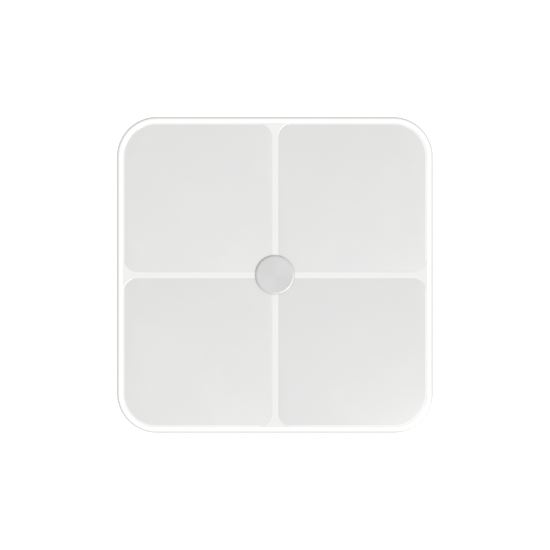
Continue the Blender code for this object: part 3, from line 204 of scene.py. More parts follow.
# Walks the level face at a height in by (across, along) steps, in millimetres.
# Along is out of the face.
def stepFace(piece, height, steps, up=True):
    way = 1 if up else -1
    pick(piece, "FACE", lambda c, n: n.z * way > 0.99 and abs(c.z - height) < 0.002)
    for across, along in steps:
        bpy.ops.mesh.inset(thickness=across * mm, depth=along * mm, use_even_offset=True)
    leaveEdit()
    return piece


# A turned piece: a disc drawn along a list of (radius, height), in millimetres.
def turnPiece(name, profile, place=(0, 0), sides=96):
    deselectAll()
    radius, height = profile[0]
    bpy.ops.mesh.primitive_circle_add(
        vertices=sides,
        radius=radius * mm,
        fill_type="NGON",
        location=(place[0] * mm, place[1] * mm, height * mm),
    )
    piece = bpy.context.object
    piece.name = piece.data.name = name
    applyPlace(piece)
    bpy.ops.object.mode_set(mode="EDIT")
    bpy.ops.mesh.select_all(action="SELECT")
    for newRadius, newHeight in profile[1:]:
        rise = (newHeight - height) * mm
        bpy.ops.mesh.extrude_region_move(TRANSFORM_OT_translate={"value": (0, 0, rise)})
        grow = newRadius / radius
        bpy.ops.transform.resize(
            value=(grow, grow, 1),
            center_override=(place[0] * mm, place[1] * mm, newHeight * mm),
        )
        radius, height = newRadius, newHeight
    bpy.ops.mesh.select_all(action="SELECT")
    bpy.ops.mesh.normals_make_consistent(inside=False)
    leaveEdit()
    return piece


def combine(piece, others, operation):
    for other in others:
        modifier = piece.modifiers.new("combine", "BOOLEAN")
        modifier.operation = operation
        modifier.solver = "EXACT"
        modifier.object = other
        activate(piece)
        bpy.ops.object.modifier_apply(modifier=modifier.name)
        spare = other.data
        bpy.data.objects.remove(other)
        bpy.data.meshes.remove(spare)
    return piece


def carve(piece, *tools):
    return combine(piece, tools, "DIFFERENCE")


def attach(piece, *others):
    return combine(piece, others, "UNION")


def copyPiece(piece, name, shift=(0, 0), turn=0.0):
    activate(piece)
    bpy.ops.object.duplicate(linked=False)
    twin = bpy.context.object
    twin.name = twin.data.name = name
    twin.rotation_euler.z = turn
    twin.location = (shift[0] * mm, shift[1] * mm, 0)
    return applyPlace(twin)


def putOn(piece, body, slotName, *stoodFor, smooth=35):
    activate(piece)
    bpy.ops.object.shade_smooth_by_angle(angle=math.radians(smooth))
    piece.data.materials.clear()
    piece.data.materials.append(finishes[slotName])
    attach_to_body(piece, body)
    if stoodFor:
        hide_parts(*stoodFor)
    return piece


# Node helpers.
def calc(tree, operation, *values):
    node = tree.nodes.new("ShaderNodeMath")
    node.operation = operation
    for spot, value in enumerate(values):
        if isinstance(value, bpy.types.NodeSocket):
            tree.links.new(value, node.inputs[spot])
        else:
            node.inputs[spot].default_value = value
    return node.outputs[0]


# Brings a value from one range to another, held at both ends.
def spread(tree, value, low, high, newLow, newHigh, kind="LINEAR"):
    node = tree.nodes.new("ShaderNodeMapRange")
    node.interpolation_type = kind
    tree.links.new(value, node.inputs["Value"])
    for label, number in zip(
        ("From Min", "From Max", "To Min", "To Max"), (low, high, newLow, newHigh)
    ):
        node.inputs[label].default_value = number
    return node.outputs[0]


def blendColour(tree, share, first, second):
    node = tree.nodes.new("ShaderNodeMix")
    node.data_type = "RGBA"
    for spot, value in ((0, share), (6, first), (7, second)):
        if isinstance(value, bpy.types.NodeSocket):
            tree.links.new(value, node.inputs[spot])
        else:
            node.inputs[spot].default_value = value
    return node.outputs[2]


def newGroup(name, takes, gives):
    tree = bpy.data.node_groups.new(name, "ShaderNodeTree")
    for label, value in takes:
        kind = "NodeSocketVector" if isinstance(value, tuple) else "NodeSocketFloat"
        tree.interface.new_socket(label, in_out="INPUT", socket_type=kind).default_value = value
    for label in gives:
        tree.interface.new_socket(label, in_out="OUTPUT", socket_type="NodeSocketFloat")
    return tree, tree.nodes.new("NodeGroupInput"), tree.nodes.new("NodeGroupOutput")


# A node's place on its own axes, in millimetres.
def placeMm(tree):
    coords = tree.nodes.new("ShaderNodeTexCoord")
    grow = tree.nodes.new("ShaderNodeVectorMath")
    grow.operation = "SCALE"
    grow.inputs["Scale"].default_value = 1000.0
    tree.links.new(coords.outputs["Object"], grow.inputs[0])
    return grow.outputs[0]


def splitXyz(tree, vector):
    node = tree.nodes.new("ShaderNodeSeparateXYZ")
    tree.links.new(vector, node.inputs[0])
    return node.outputs["X"], node.outputs["Y"], node.outputs["Z"]


def noise(tree, vector, size, detail=2.0, rough=0.5):
    node = tree.nodes.new("ShaderNodeTexNoise")
    tree.links.new(vector, node.inputs["Vector"])
    node.inputs["Detail"].default_value = detail
    node.inputs["Roughness"].default_value = rough
    if isinstance(size, bpy.types.NodeSocket):
        tree.links.new(calc(tree, "DIVIDE", 1.0, size), node.inputs["Scale"])
    else:
        node.inputs["Scale"].default_value = 1.0 / size
    return node.outputs["Fac"]


# Shared effects.
# How far in from the rounded square outline a point lies, in millimetres.
outlineDepth, start, end = newGroup(
    "outlineDepth", [
        ("Half X", 150.0), ("Half Y", 150.0), ("Corner", 38.0), ("Middle", (0.0, 0.0, 0.0))
    ], ["Depth"]
)
shift = outlineDepth.nodes.new("ShaderNodeVectorMath")
shift.operation = "SUBTRACT"
outlineDepth.links.new(placeMm(outlineDepth), shift.inputs[0])
outlineDepth.links.new(start.outputs["Middle"], shift.inputs[1])
acrossX, acrossY, _ = splitXyz(outlineDepth, shift.outputs[0])
sides = []
for socket, half in ((acrossX, "Half X"), (acrossY, "Half Y")):
    flat = calc(outlineDepth, "SUBTRACT", start.outputs[half], start.outputs["Corner"])
    sides.append(calc(outlineDepth, "SUBTRACT", calc(outlineDepth, "ABSOLUTE", socket), flat))
beyond = [
    calc(outlineDepth, "POWER", calc(outlineDepth, "MAXIMUM", side, 0.0), 2.0) for side in sides
]
reach = calc(outlineDepth, "SQRT", calc(outlineDepth, "ADD", *beyond))
within = calc(outlineDepth, "MINIMUM", calc(outlineDepth, "MAXIMUM", *sides), 0.0)
total = calc(outlineDepth, "ADD", reach, within)
outlineDepth.links.new(
    calc(outlineDepth, "SUBTRACT", start.outputs["Corner"], total), end.inputs["Depth"]
)

# Fine grain, slow mottling and sparse dust.
surfaceGrain, start, end = newGroup(
    "surfaceGrain", [
        ("Fine Size", 0.4), ("Broad Size", 40.0), ("Dust Size", 5.0)
    ], ["Fine", "Broad", "Dust"]
)
spot = placeMm(surfaceGrain)
surfaceGrain.links.new(
    noise(surfaceGrain, spot, start.outputs["Fine Size"], 3.0, 0.6), end.inputs["Fine"]
)
surfaceGrain.links.new(
    noise(surfaceGrain, spot, start.outputs["Broad Size"], 3.0, 0.55), end.inputs["Broad"]
)
dust = surfaceGrain.nodes.new("ShaderNodeTexVoronoi")
surfaceGrain.links.new(spot, dust.inputs["Vector"])
surfaceGrain.links.new(
    calc(surfaceGrain, "DIVIDE", 1.0, start.outputs["Dust Size"]), dust.inputs["Scale"]
)
surfaceGrain.links.new(
    spread(surfaceGrain, dust.outputs["Distance"], 0.02, 0.05, 1.0, 0.0), end.inputs["Dust"]
)

# A mask along edges that hands and floors rub.
edgeWear, start, end = newGroup("edgeWear", [("Width", 0.5), ("Patchiness", 6.0)], ["Wear"])
rounded = edgeWear.nodes.new("ShaderNodeBevel")
rounded.samples = 4
edgeWear.links.new(calc(edgeWear, "MULTIPLY", start.outputs["Width"], mm), rounded.inputs["Radius"])
plain = edgeWear.nodes.new("ShaderNodeNewGeometry")
alike = edgeWear.nodes.new("ShaderNodeVectorMath")
alike.operation = "DOT_PRODUCT"
edgeWear.links.new(rounded.outputs[0], alike.inputs[0])
edgeWear.links.new(plain.outputs["Normal"], alike.inputs[1])
onEdge = spread(edgeWear, alike.outputs["Value"], 0.80, 0.99, 1.0, 0.0)
patches = spread(
    edgeWear,
    noise(edgeWear, placeMm(edgeWear), start.outputs["Patchiness"], 4.0),
    0.42,
    0.62,
    0.0,
    1.0,
)
edgeWear.links.new(calc(edgeWear, "MULTIPLY", onEdge, patches), end.inputs["Wear"])

# Fine rings round a point, as a lathe or a spun finish leaves.
turnedRings, start, end = newGroup(
    "turnedRings", [
        ("Middle", (0.0, 0.0, 0.0)), ("Pitch", 0.25), ("Waver", 0.5)
    ], ["Rings", "Radius"]
)
away = turnedRings.nodes.new("ShaderNodeVectorMath")
away.operation = "SUBTRACT"
turnedRings.links.new(placeMm(turnedRings), away.inputs[0])
turnedRings.links.new(start.outputs["Middle"], away.inputs[1])
ringX, ringY, _ = splitXyz(turnedRings, away.outputs[0])
radius = calc(
    turnedRings,
    "SQRT",
    calc(
        turnedRings,
        "ADD",
        calc(turnedRings, "POWER", calc(turnedRings, "ABSOLUTE", ringX), 2.0),
        calc(turnedRings, "POWER", calc(turnedRings, "ABSOLUTE", ringY), 2.0),
    ),
)
along = turnedRings.nodes.new("ShaderNodeCombineXYZ")
turnedRings.links.new(
    calc(turnedRings, "DIVIDE", radius, start.outputs["Pitch"]), along.inputs["X"]
)
turnedRings.links.new(
    calc(turnedRings, "MULTIPLY", ringX, start.outputs["Waver"]), along.inputs["Y"]
)
turnedRings.links.new(noise(turnedRings, along.outputs[0], 1.0, 3.0, 0.7), end.inputs["Rings"])
turnedRings.links.new(radius, end.inputs["Radius"])

# Short straight scratches along X, as rolled or brushed metal has.
brushed, start, end = newGroup("brushed", [("Length", 12.0), ("Width", 0.15)], ["Lines"])
lineX, lineY, lineZ = splitXyz(brushed, placeMm(brushed))
stretched = brushed.nodes.new("ShaderNodeCombineXYZ")
brushed.links.new(calc(brushed, "DIVIDE", lineX, start.outputs["Length"]), stretched.inputs["X"])
brushed.links.new(calc(brushed, "DIVIDE", lineY, start.outputs["Width"]), stretched.inputs["Y"])
brushed.links.new(calc(brushed, "DIVIDE", lineZ, start.outputs["Width"]), stretched.inputs["Z"])
brushed.links.new(noise(brushed, stretched.outputs[0], 1.0, 2.0, 0.6), end.inputs["Lines"])


def useGroup(tree, group, **values):
    node = tree.nodes.new("ShaderNodeGroup")
    node.node_tree = group
    for label, value in values.items():
        node.inputs[label].default_value = value
    return node


def newMaterial(name, **settings):
    material = bpy.data.materials.new(name)
    material.use_nodes = True
    tree = material.node_tree
    shader = tree.nodes["Principled BSDF"]
    for label, value in settings.items():
        shader.inputs[label.replace("_", " ")].default_value = value
    return material, tree, shader


def bump(tree, shader, height, strength, distance):
    node = tree.nodes.new("ShaderNodeBump")
    node.inputs["Strength"].default_value = strength
    node.inputs["Distance"].default_value = distance * mm
    tree.links.new(height, node.inputs["Height"])
    tree.links.new(node.outputs[0], shader.inputs["Normal"])


def colourStops(tree, share, stops):
    node = tree.nodes.new("ShaderNodeValToRGB")
    ramp = node.color_ramp
    while len(ramp.elements) < len(stops):
        ramp.elements.new(0.5)
    for element, (place, colour) in zip(ramp.elements, stops):
        element.position = place
        element.color = colour
    tree.links.new(share, node.inputs["Fac"])
    return node.outputs["Color"]


def useGrain(tree, fine, broad, dust):
    return useGroup(
        tree, surfaceGrain, **{"Fine Size": fine, "Broad Size": broad, "Dust Size": dust}
    )


# Mixes two colours by the slow mottling, or by the sparse dust.
def blendBroad(tree, grain, limits, first, second):
    return blendColour(tree, spread(tree, grain.outputs["Broad"], *limits), first, second)


def blendDust(tree, grain, share, first, second):
    return blendColour(tree, calc(tree, "MULTIPLY", grain.outputs["Dust"], share), first, second)


def paint(tree, shader, colour):
    tree.links.new(colour, shader.inputs["Base Color"])


# Spreads a value over a new range and leads it into the shader.
def spreadTo(tree, shader, label, value, *limits):
    tree.links.new(spread(tree, value, *limits), shader.inputs[label])


# Finishes.
# The edge colour is a painted shade line along the glass's outermost rim, and the ring colour a
# painted highlight over its bevel; panel is the glass's own white and side its greenish edge tint.
glassLook = {
    "edge": (0.69, 0.70, 0.693, 1),
    "ring": (0.99, 0.99, 0.975, 1),
    "panel": (0.845, 0.845, 0.835, 1),
    "side": (0.70, 0.77, 0.745, 1),
    "shadeLineWidth": 1.7,
    "ringWidth": 5.6,
    "polish": 0.06,
}
whiteGlass, tree, shader = newMaterial(
    "whiteGlass", Coat_Weight=0.7, Coat_Roughness=0.03, IOR=1.5, Specular_IOR_Level=0.35
)
depth = useGroup(tree, outlineDepth).outputs["Depth"]
grain = useGrain(tree, 0.8, 55.0, 14.0)
# Colour by depth from the outline: the painted shade line, then the painted highlight ring, then
# the plain panel.
shadeAndHighlightBands = colourStops(
    tree,
    spread(tree, depth, 0.0, 10.0, 0.0, 1.0),
    [
        (0.0, glassLook["edge"]),
        (glassLook["shadeLineWidth"] / 10, glassLook["edge"]),
        (glassLook["shadeLineWidth"] / 10 + 0.03, glassLook["ring"]),
        (glassLook["ringWidth"] / 10, glassLook["ring"]),
        (glassLook["ringWidth"] / 10 + 0.05, glassLook["panel"]),
    ],
)
_, _, height = splitXyz(tree, placeMm(tree))
lowDown = spread(tree, height, 23.0, 23.7, 1.0, 0.0)
tinted = blendColour(tree, lowDown, shadeAndHighlightBands, glassLook["side"])
mottled = blendBroad(tree, grain, (0.3, 0.7, 0.0, 0.02), tinted, (0.6, 0.62, 0.6, 1))
dusty = blendDust(tree, grain, 0.12, mottled, (0.5, 0.5, 0.48, 1))
paint(tree, shader, dusty)
smear = spread(
    tree, grain.outputs["Broad"], 0.35, 0.65, glassLook["polish"], glassLook["polish"] + 0.06
)
tree.links.new(
    calc(tree, "ADD", smear, calc(tree, "MULTIPLY", lowDown, 0.22)), shader.inputs["Roughness"]
)
bump(tree, shader, grain.outputs["Broad"], 0.04, 0.05)

filmLook = {
    "colour": (0.742, 0.742, 0.728, 1), "shade": (0.725, 0.728, 0.722, 1), "roughness": 0.30
}
electrodeFilm, tree, shader = newMaterial(
    "electrodeFilm", Coat_Weight=0.25, Coat_Roughness=0.12, Specular_IOR_Level=0.5
)
grain = useGrain(tree, 0.35, 38.0, 11.0)
brush = useGroup(tree, brushed, Length=30.0, Width=0.25)
cloudy = blendBroad(tree, grain, (0.35, 0.65, 0.0, 1.0), filmLook["colour"], filmLook["shade"])
fromOutline = useGroup(tree, outlineDepth).outputs["Depth"]
# Near the outline the film blends toward the ring's painted highlight colour.
towardHighlightRing = blendColour(
    tree, spread(tree, fromOutline, 6.6, 7.9, 0.85, 0.0), cloudy, glassLook["ring"]
)
dusty = blendDust(tree, grain, 0.10, towardHighlightRing, (0.5, 0.5, 0.48, 1))
paint(tree, shader, dusty)
fineShare = calc(tree, "ADD", grain.outputs["Fine"], brush.outputs["Lines"])
spreadTo(
    tree,
    shader,
    "Roughness",
    fineShare,
    0.6,
    1.4,
    filmLook["roughness"] - 0.06,
    filmLook["roughness"] + 0.08,
)
bump(tree, shader, grain.outputs["Fine"], 0.05, 0.01)

capLook = {"colour": (0.665, 0.665, 0.662, 1), "rub": (0.74, 0.74, 0.73, 1), "roughness": 0.40}
satinCap, tree, shader = newMaterial("satinCap", Specular_IOR_Level=0.5, Anisotropic=0.25)
rings = useGroup(tree, turnedRings, Pitch=0.18, Waver=0.05)
grain = useGrain(tree, 0.25, 14.0, 6.0)
wear = useGroup(tree, edgeWear, Width=0.35, Patchiness=4.0)
toned = blendColour(
    tree, calc(tree, "MULTIPLY", wear.outputs["Wear"], 0.5), capLook["colour"], capLook["rub"]
)
ringed = blendColour(
    tree, spread(tree, rings.outputs["Rings"], 0.3, 0.7, 0.0, 0.10), toned, (0.45, 0.45, 0.45, 1)
)
paint(tree, shader, ringed)
spreadTo(tree, shader, "Metallic", grain.outputs["Broad"], 0.3, 0.7, 0.18, 0.28)
spreadTo(
    tree,
    shader,
    "Roughness",
    calc(tree, "ADD", rings.outputs["Rings"], grain.outputs["Fine"]),
    0.6,
    1.4,
    capLook["roughness"] - 0.05,
    capLook["roughness"] + 0.07,
)
bump(tree, shader, rings.outputs["Rings"], 0.10, 0.012)


# Moulded plastic: spark grain, faint flow mottling, rubbed edges and a little dust.
def mouldedPlastic(name, colour, roughness, grainSize, grainDepth, rub=0.35):
    material, tree, shader = newMaterial(name, Specular_IOR_Level=0.45)
    grain = useGrain(tree, grainSize, 30.0, 8.0)
    wear = useGroup(tree, edgeWear, Width=0.5, Patchiness=7.0)
    darker = tuple(value * 0.93 for value in colour[:3]) + (1,)
    lighter = tuple(min(value * 1.08, 0.96) for value in colour[:3]) + (1,)
    flow = blendBroad(tree, grain, (0.35, 0.65, 0.0, 0.5), colour, darker)
    rubbed = blendColour(tree, calc(tree, "MULTIPLY", wear.outputs["Wear"], rub), flow, lighter)
    dusty = blendDust(tree, grain, 0.18, rubbed, (0.45, 0.44, 0.42, 1))
    paint(tree, shader, dusty)
    base = spread(tree, grain.outputs["Fine"], 0.3, 0.7, roughness - 0.06, roughness + 0.06)
    tree.links.new(
        calc(tree, "SUBTRACT", base, calc(tree, "MULTIPLY", wear.outputs["Wear"], 0.14)),
        shader.inputs["Roughness"],
    )
    bump(tree, shader, grain.outputs["Fine"], 0.25, grainDepth)
    return material


# Rolled or plated metal: fine scratches and slow tarnish.
def rolledMetal(name, colour, tarnish, roughness, length=14.0):
    material, tree, shader = newMaterial(name, Metallic=1.0)
    grain = useGrain(tree, 0.2, 9.0, 3.0)
    lines = useGroup(tree, brushed, Length=length, Width=0.12)
    stained = blendBroad(tree, grain, (0.45, 0.75, 0.0, 0.7), colour, tarnish)
    paint(tree, shader, stained)
    spreadTo(
        tree,
        shader,
        "Roughness",
        calc(tree, "ADD", lines.outputs["Lines"], grain.outputs["Broad"]),
        0.7,
        1.3,
        roughness - 0.08,
        roughness + 0.12,
    )
    bump(tree, shader, lines.outputs["Lines"], 0.12, 0.02)
    return material


# Soft or hard skin over a wire or a pad: low sheen with a fine dimple.
def softSkin(name, colour, roughness, dimple):
    material, tree, shader = newMaterial(name, Specular_IOR_Level=0.35)
    grain = useGrain(tree, dimple, 12.0, 3.5)
    darker = tuple(value * 0.82 for value in colour[:3]) + (1,)
    aged = blendBroad(tree, grain, (0.35, 0.7, 0.0, 0.8), colour, darker)
    dusty = blendDust(tree, grain, 0.35, aged, (0.6, 0.59, 0.56, 1))
    paint(tree, shader, dusty)
    spreadTo(
        tree,
        shader,
        "Roughness",
        grain.outputs["Fine"],
        0.3,
        0.7,
        roughness - 0.08,
        roughness + 0.08,
    )
    bump(tree, shader, grain.outputs["Fine"], 0.35, dimple * 0.08)
    return material


finishes = {
    "shell_plastic": mouldedPlastic("shellPlastic", (0.72, 0.72, 0.707, 1), 0.46, 0.35, 0.02),
    "foot_plastic": mouldedPlastic("footPlastic", (0.76, 0.76, 0.75, 1), 0.50, 0.45, 0.03, rub=0.6),
    "inner_plastic": mouldedPlastic(
        "innerPlastic", (0.74, 0.74, 0.725, 1), 0.38, 0.6, 0.01, rub=0.15
    ),
    "foot_rubber": softSkin("footRubber", (0.40, 0.40, 0.40, 1), 0.82, 0.30),
    "cable_jacket": softSkin("cableJacket", (0.30, 0.30, 0.32, 1), 0.48, 0.20),
    "lead_red": softSkin("leadRed", (0.52, 0.035, 0.025, 1), 0.42, 0.15),
    "lead_black": softSkin("leadBlack", (0.022, 0.022, 0.024, 1), 0.42, 0.15),
    "foam_tape": softSkin("foamTape", (0.78, 0.78, 0.75, 1), 0.90, 0.50),
    "steel": rolledMetal("zincSteel", (0.60, 0.61, 0.62, 1), (0.47, 0.47, 0.45, 1), 0.32),
    "plated_contact": rolledMetal(
        "platedSpring", (0.76, 0.73, 0.66, 1), (0.62, 0.56, 0.42, 1), 0.22, 5.0
    ),
    "platform_glass": whiteGlass,
    "electrode_film": electrodeFilm,
    "cap_metal": satinCap,
}
print("studio, effects and main finishes made")

# Finishes for the small pieces.
wrapLook = {
    "middle": 0.0, "wrap": (0.085, 0.13, 0.17, 1), "band": (0.62, 0.60, 0.56, 1), "bandHalf": 6.5
}
batteryWrap, tree, shader = newMaterial("batteryWrap", Coat_Weight=0.5, Coat_Roughness=0.10)
grain = useGrain(tree, 0.25, 8.0, 2.5)
along, _, _ = splitXyz(tree, placeMm(tree))
offMiddle = calc(tree, "ABSOLUTE", calc(tree, "SUBTRACT", along, wrapLook["middle"]))
banded = blendColour(
    tree,
    spread(tree, offMiddle, wrapLook["bandHalf"], wrapLook["bandHalf"] + 0.15, 1.0, 0.0),
    wrapLook["wrap"],
    wrapLook["band"],
)
scuffed = blendBroad(tree, grain, (0.6, 0.8, 0.0, 0.25), banded, (0.4, 0.4, 0.38, 1))
paint(tree, shader, scuffed)
spreadTo(
    tree,
    shader,
    "Metallic",
    offMiddle,
    wrapLook["bandHalf"],
    wrapLook["bandHalf"] + 0.15,
    0.85,
    0.25,
)
spreadTo(tree, shader, "Roughness", grain.outputs["Fine"], 0.3, 0.7, 0.24, 0.36)
bump(tree, shader, grain.outputs["Broad"], 0.12, 0.03)
finishes["battery_wrap"] = batteryWrap

maskLook = {
    "mask": (0.03, 0.15, 0.075, 1), "track": (0.05, 0.24, 0.12, 1), "pad": (0.70, 0.66, 0.55, 1)
}
boardMask, tree, shader = newMaterial("boardMask", Coat_Weight=0.4, Coat_Roughness=0.15)
grain = useGrain(tree, 0.3, 18.0, 4.0)
spot = placeMm(tree)
tracks = tree.nodes.new("ShaderNodeTexBrick")
tracks.inputs["Scale"].default_value = 0.16
tracks.inputs["Mortar Size"].default_value = 0.035
tracks.inputs["Mortar Smooth"].default_value = 0.1
tracks.offset = 0.37
tree.links.new(spot, tracks.inputs["Vector"])
vias = tree.nodes.new("ShaderNodeTexVoronoi")
vias.inputs["Scale"].default_value = 0.17
vias.inputs["Randomness"].default_value = 0.8
tree.links.new(spot, vias.inputs["Vector"])
tracked = blendColour(tree, tracks.outputs["Fac"], maskLook["mask"], maskLook["track"])
padded = blendColour(
    tree, spread(tree, vias.outputs["Distance"], 0.075, 0.095, 1.0, 0.0), tracked, maskLook["pad"]
)
flow = blendBroad(tree, grain, (0.4, 0.7, 0.0, 0.35), padded, (0.02, 0.10, 0.05, 1))
paint(tree, shader, flow)
spreadTo(tree, shader, "Roughness", grain.outputs["Fine"], 0.3, 0.7, 0.30, 0.42)
bump(tree, shader, calc(tree, "ADD", tracks.outputs["Fac"], vias.outputs["Distance"]), 0.20, 0.03)
finishes["board_laminate"] = boardMask

finishes["chip_plastic"] = softSkin("mouldedChip", (0.030, 0.030, 0.032, 1), 0.62, 0.18)
finishes["gauge_film"] = softSkin("gaugeSealant", (0.74, 0.64, 0.46, 1), 0.35, 0.60)

labelLook = {"colour": (0.80, 0.81, 0.82, 1), "line": (0.40, 0.41, 0.42, 1)}
labelFilm, tree, shader = newMaterial("labelFilm", Coat_Weight=0.2, Coat_Roughness=0.2)
lines = useGroup(tree, brushed, Length=26.0, Width=0.14)
grain = useGrain(tree, 0.3, 22.0, 7.0)
edgeIn = useGroup(
    tree, outlineDepth, **{
        "Half X": 44.0, "Half Y": 26.0, "Corner": 3.0, "Middle": (0.0, 56.0, 0.0)
    }
).outputs["Depth"]
offLine = calc(tree, "ABSOLUTE", calc(tree, "SUBTRACT", edgeIn, 2.2))
lined = blendColour(
    tree, spread(tree, offLine, 0.14, 0.22, 1.0, 0.0), labelLook["colour"], labelLook["line"]
)
streaked = blendColour(
    tree, spread(tree, lines.outputs["Lines"], 0.3, 0.7, 0.0, 0.14), lined, (0.5, 0.5, 0.5, 1)
)
paint(tree, shader, streaked)
spreadTo(tree, shader, "Metallic", grain.outputs["Broad"], 0.3, 0.7, 0.45, 0.65)
spreadTo(tree, shader, "Roughness", lines.outputs["Lines"], 0.3, 0.7, 0.30, 0.44)
bump(tree, shader, lines.outputs["Lines"], 0.08, 0.01)
finishes["label_film"] = labelFilm

diffuserFilm, tree, shader = newMaterial("diffuserFilm", Specular_IOR_Level=0.4)
grain = useGrain(tree, 0.2, 16.0, 5.0)
milky = blendBroad(tree, grain, (0.3, 0.7, 0.0, 1.0), (0.76, 0.77, 0.79, 1), (0.70, 0.71, 0.73, 1))
paint(tree, shader, milky)
spreadTo(tree, shader, "Roughness", grain.outputs["Fine"], 0.3, 0.7, 0.52, 0.66)
bump(tree, shader, grain.outputs["Fine"], 0.2, 0.01)
finishes["display_film"] = diffuserFilm


# Floor.
floor = addBlock(
    "studioFloor",
    (-studio["floorSize"] / 2, -studio["floorSize"] / 2, -20.0),
    (studio["floorSize"] / 2, studio["floorSize"] / 2, 0.0),
)
pick(floor, "FACE", lambda c, n: n.z < 0.5)
bpy.ops.mesh.delete(type="FACE")
leaveEdit()
floorMaterial, tree, shader = newMaterial("paleFloor", Roughness=0.9, Specular_IOR_Level=0.1)
shader.inputs["Base Color"].default_value = studio["floorColour"]
shader.inputs["Emission Color"].default_value = (1, 1, 1, 1)
rays = tree.nodes.new("ShaderNodeLightPath")
glow = spread(
    tree, rays.outputs["Is Diffuse Ray"], 0.0, 1.0, studio["floorGlow"], studio["floorSpill"]
)
tree.links.new(glow, shader.inputs["Emission Strength"])
floorMaterial.cycles.emission_sampling = "NONE"
seeThrough = tree.nodes.new("ShaderNodeBsdfTransparent")
behind = tree.nodes.new("ShaderNodeNewGeometry")
mixer = tree.nodes.new("ShaderNodeMixShader")
tree.links.new(behind.outputs["Backfacing"], mixer.inputs[0])
tree.links.new(shader.outputs[0], mixer.inputs[1])
tree.links.new(seeThrough.outputs[0], mixer.inputs[2])
tree.links.new(mixer.outputs[0], tree.nodes["Material Output"].inputs["Surface"])
floor.data.materials.append(floorMaterial)


# Glass platform.
glassSizes = {
    "cornerSteps": 28,
    "edgeWidth": 4.7,
    "edgeDrop": 1.8,
    "edgeSteps": 10,
    "arris": 0.8,
    "hubHole": 8.5,
}
filmSizes = {
    "inner": 3.1,
    "outer": 143.5,
    "wideCorner": 31.5,
    "tightCorner": 13.0,
    "bottom": 25.02,
    "top": 25.10,
    "pocketFloor": 25.0,
    "pocketSlope": 0.6,
    "pocketGap": 0.05,
}


# Steps over a quarter of an ellipse, each turning by the same angle, from upright to level.
def quarterSteps(across, along, count):
    points = []
    for index in range(count + 1):
        slope = math.radians(90 - 90 * index / count)
        turn = math.atan2(along * math.cos(slope), across * math.sin(slope))
        points.append((across * (1 - math.cos(turn)), along * math.sin(turn)))
    return [(b[0] - a[0], b[1] - a[1]) for a, b in zip(points, points[1:])]


def makeGlass():
    half, wallTop = scale["half"], scale["top"] - glassSizes["edgeDrop"]
    wallBottom = scale["under"] + glassSizes["arris"]
    glass = addBlock("glassPlatform", (-half, -half, wallBottom), (half, half, wallTop))
    roundUpright(glass, scale["corner"], glassSizes["cornerSteps"])
    edge = quarterSteps(glassSizes["edgeWidth"], glassSizes["edgeDrop"], glassSizes["edgeSteps"])
    stepFace(glass, wallTop, [*edge, (0.25, 0.0)])
    arris = glassSizes["arris"]
    stepFace(
        glass,
        wallBottom,
        [(arris * 0.15, arris * 0.35), (arris * 0.35, arris * 0.45), (arris * 0.5, arris * 0.2)],
        up=False,
    )
    carve(glass, *makePocketTools())
    carve(glass, addRod("hubHoleTool", glassSizes["hubHole"], 15, 30, sides=96))
    return putOn(glass, "base", "platform_glass", "glass_platform", smooth=16)


# One coated zone's outline, grown by a margin, as a flat slab.
def zoneSlab(name, low, high, grow):
    inner, outer = filmSizes["inner"] - grow, filmSizes["outer"] + grow
    slab = addBlock(name, (inner, inner, low), (outer, outer, high))
    middle = (inner + outer) / 2
    roundUpright(slab, filmSizes["wideCorner"] + grow, 24, lambda x, y: x > middle and y > middle)
    roundUpright(
        slab,
        filmSizes["tightCorner"] + grow,
        16,
        lambda x, y: (abs(x - inner) < 0.01 or abs(x - outer) < 0.01)
        and (abs(y - inner) < 0.01 or abs(y - outer) < 0.01),
    )
    return slab


def makePocketTools():
    slope, gap = filmSizes["pocketSlope"], filmSizes["pocketGap"]
    first = zoneSlab("pocketTool", scale["top"], scale["top"] + 2, slope + gap)
    stepFace(first, scale["top"], [(slope, scale["top"] - filmSizes["pocketFloor"])], up=False)
    turned = [copyPiece(first, f"pocketTool{turn}", turn=turn * math.pi / 2) for turn in (1, 2, 3)]
    return [first, *turned]


def makeFilms():
    first = zoneSlab("electrodeFilm_rear_right", filmSizes["bottom"], filmSizes["top"] - 0.03, 0.0)
    stepFace(first, filmSizes["top"] - 0.03, [(0.03, 0.02), (0.05, 0.01)])
    films = {"rear_right": first}
    for turn, corner in ((1, "rear_left"), (2, "front_left"), (3, "front_right")):
        films[corner] = copyPiece(first, f"electrodeFilm_{corner}", turn=turn * math.pi / 2)
    for corner, film in films.items():
        putOn(film, "base", "electrode_film", f"electrode_{corner}", smooth=16)


makeGlass()
makeFilms()
print("glass platform and electrodes made")


# Centre cap.
capSizes = {"top": 27.0, "shoulder": 1.9, "shoulderSteps": 8}
capProfile = [
    (1.5, 23.3),
    (1.5, 19.2),
    (1.7, 19.0),
    (3.8, 19.0),
    (4.0, 19.2),
    (4.0, 25.9),
    (4.2, 26.1),
    (17.1, 26.1),
    (17.3, 25.95),
    (17.3, 25.5),
    (18.35, 25.5),
    (18.5, 25.62),
    (18.5, 25.95),
]


def makeCap():
    profile = list(capProfile)
    radius, height = profile[-1]
    for inward, upward in quarterSteps(
        capSizes["shoulder"], capSizes["top"] - height, capSizes["shoulderSteps"]
    ):
        radius, height = radius - inward, height + upward
        profile.append((radius, height))
    profile += [(radius - 0.3, height), (radius - 2.5, height), (radius - 9, height), (0.6, height)]
    cap = turnPiece("centreCap", profile, sides=128)
    return putOn(cap, "base", "cap_metal", "centre_cap", smooth=22)


makeCap()
print("centre cap made")


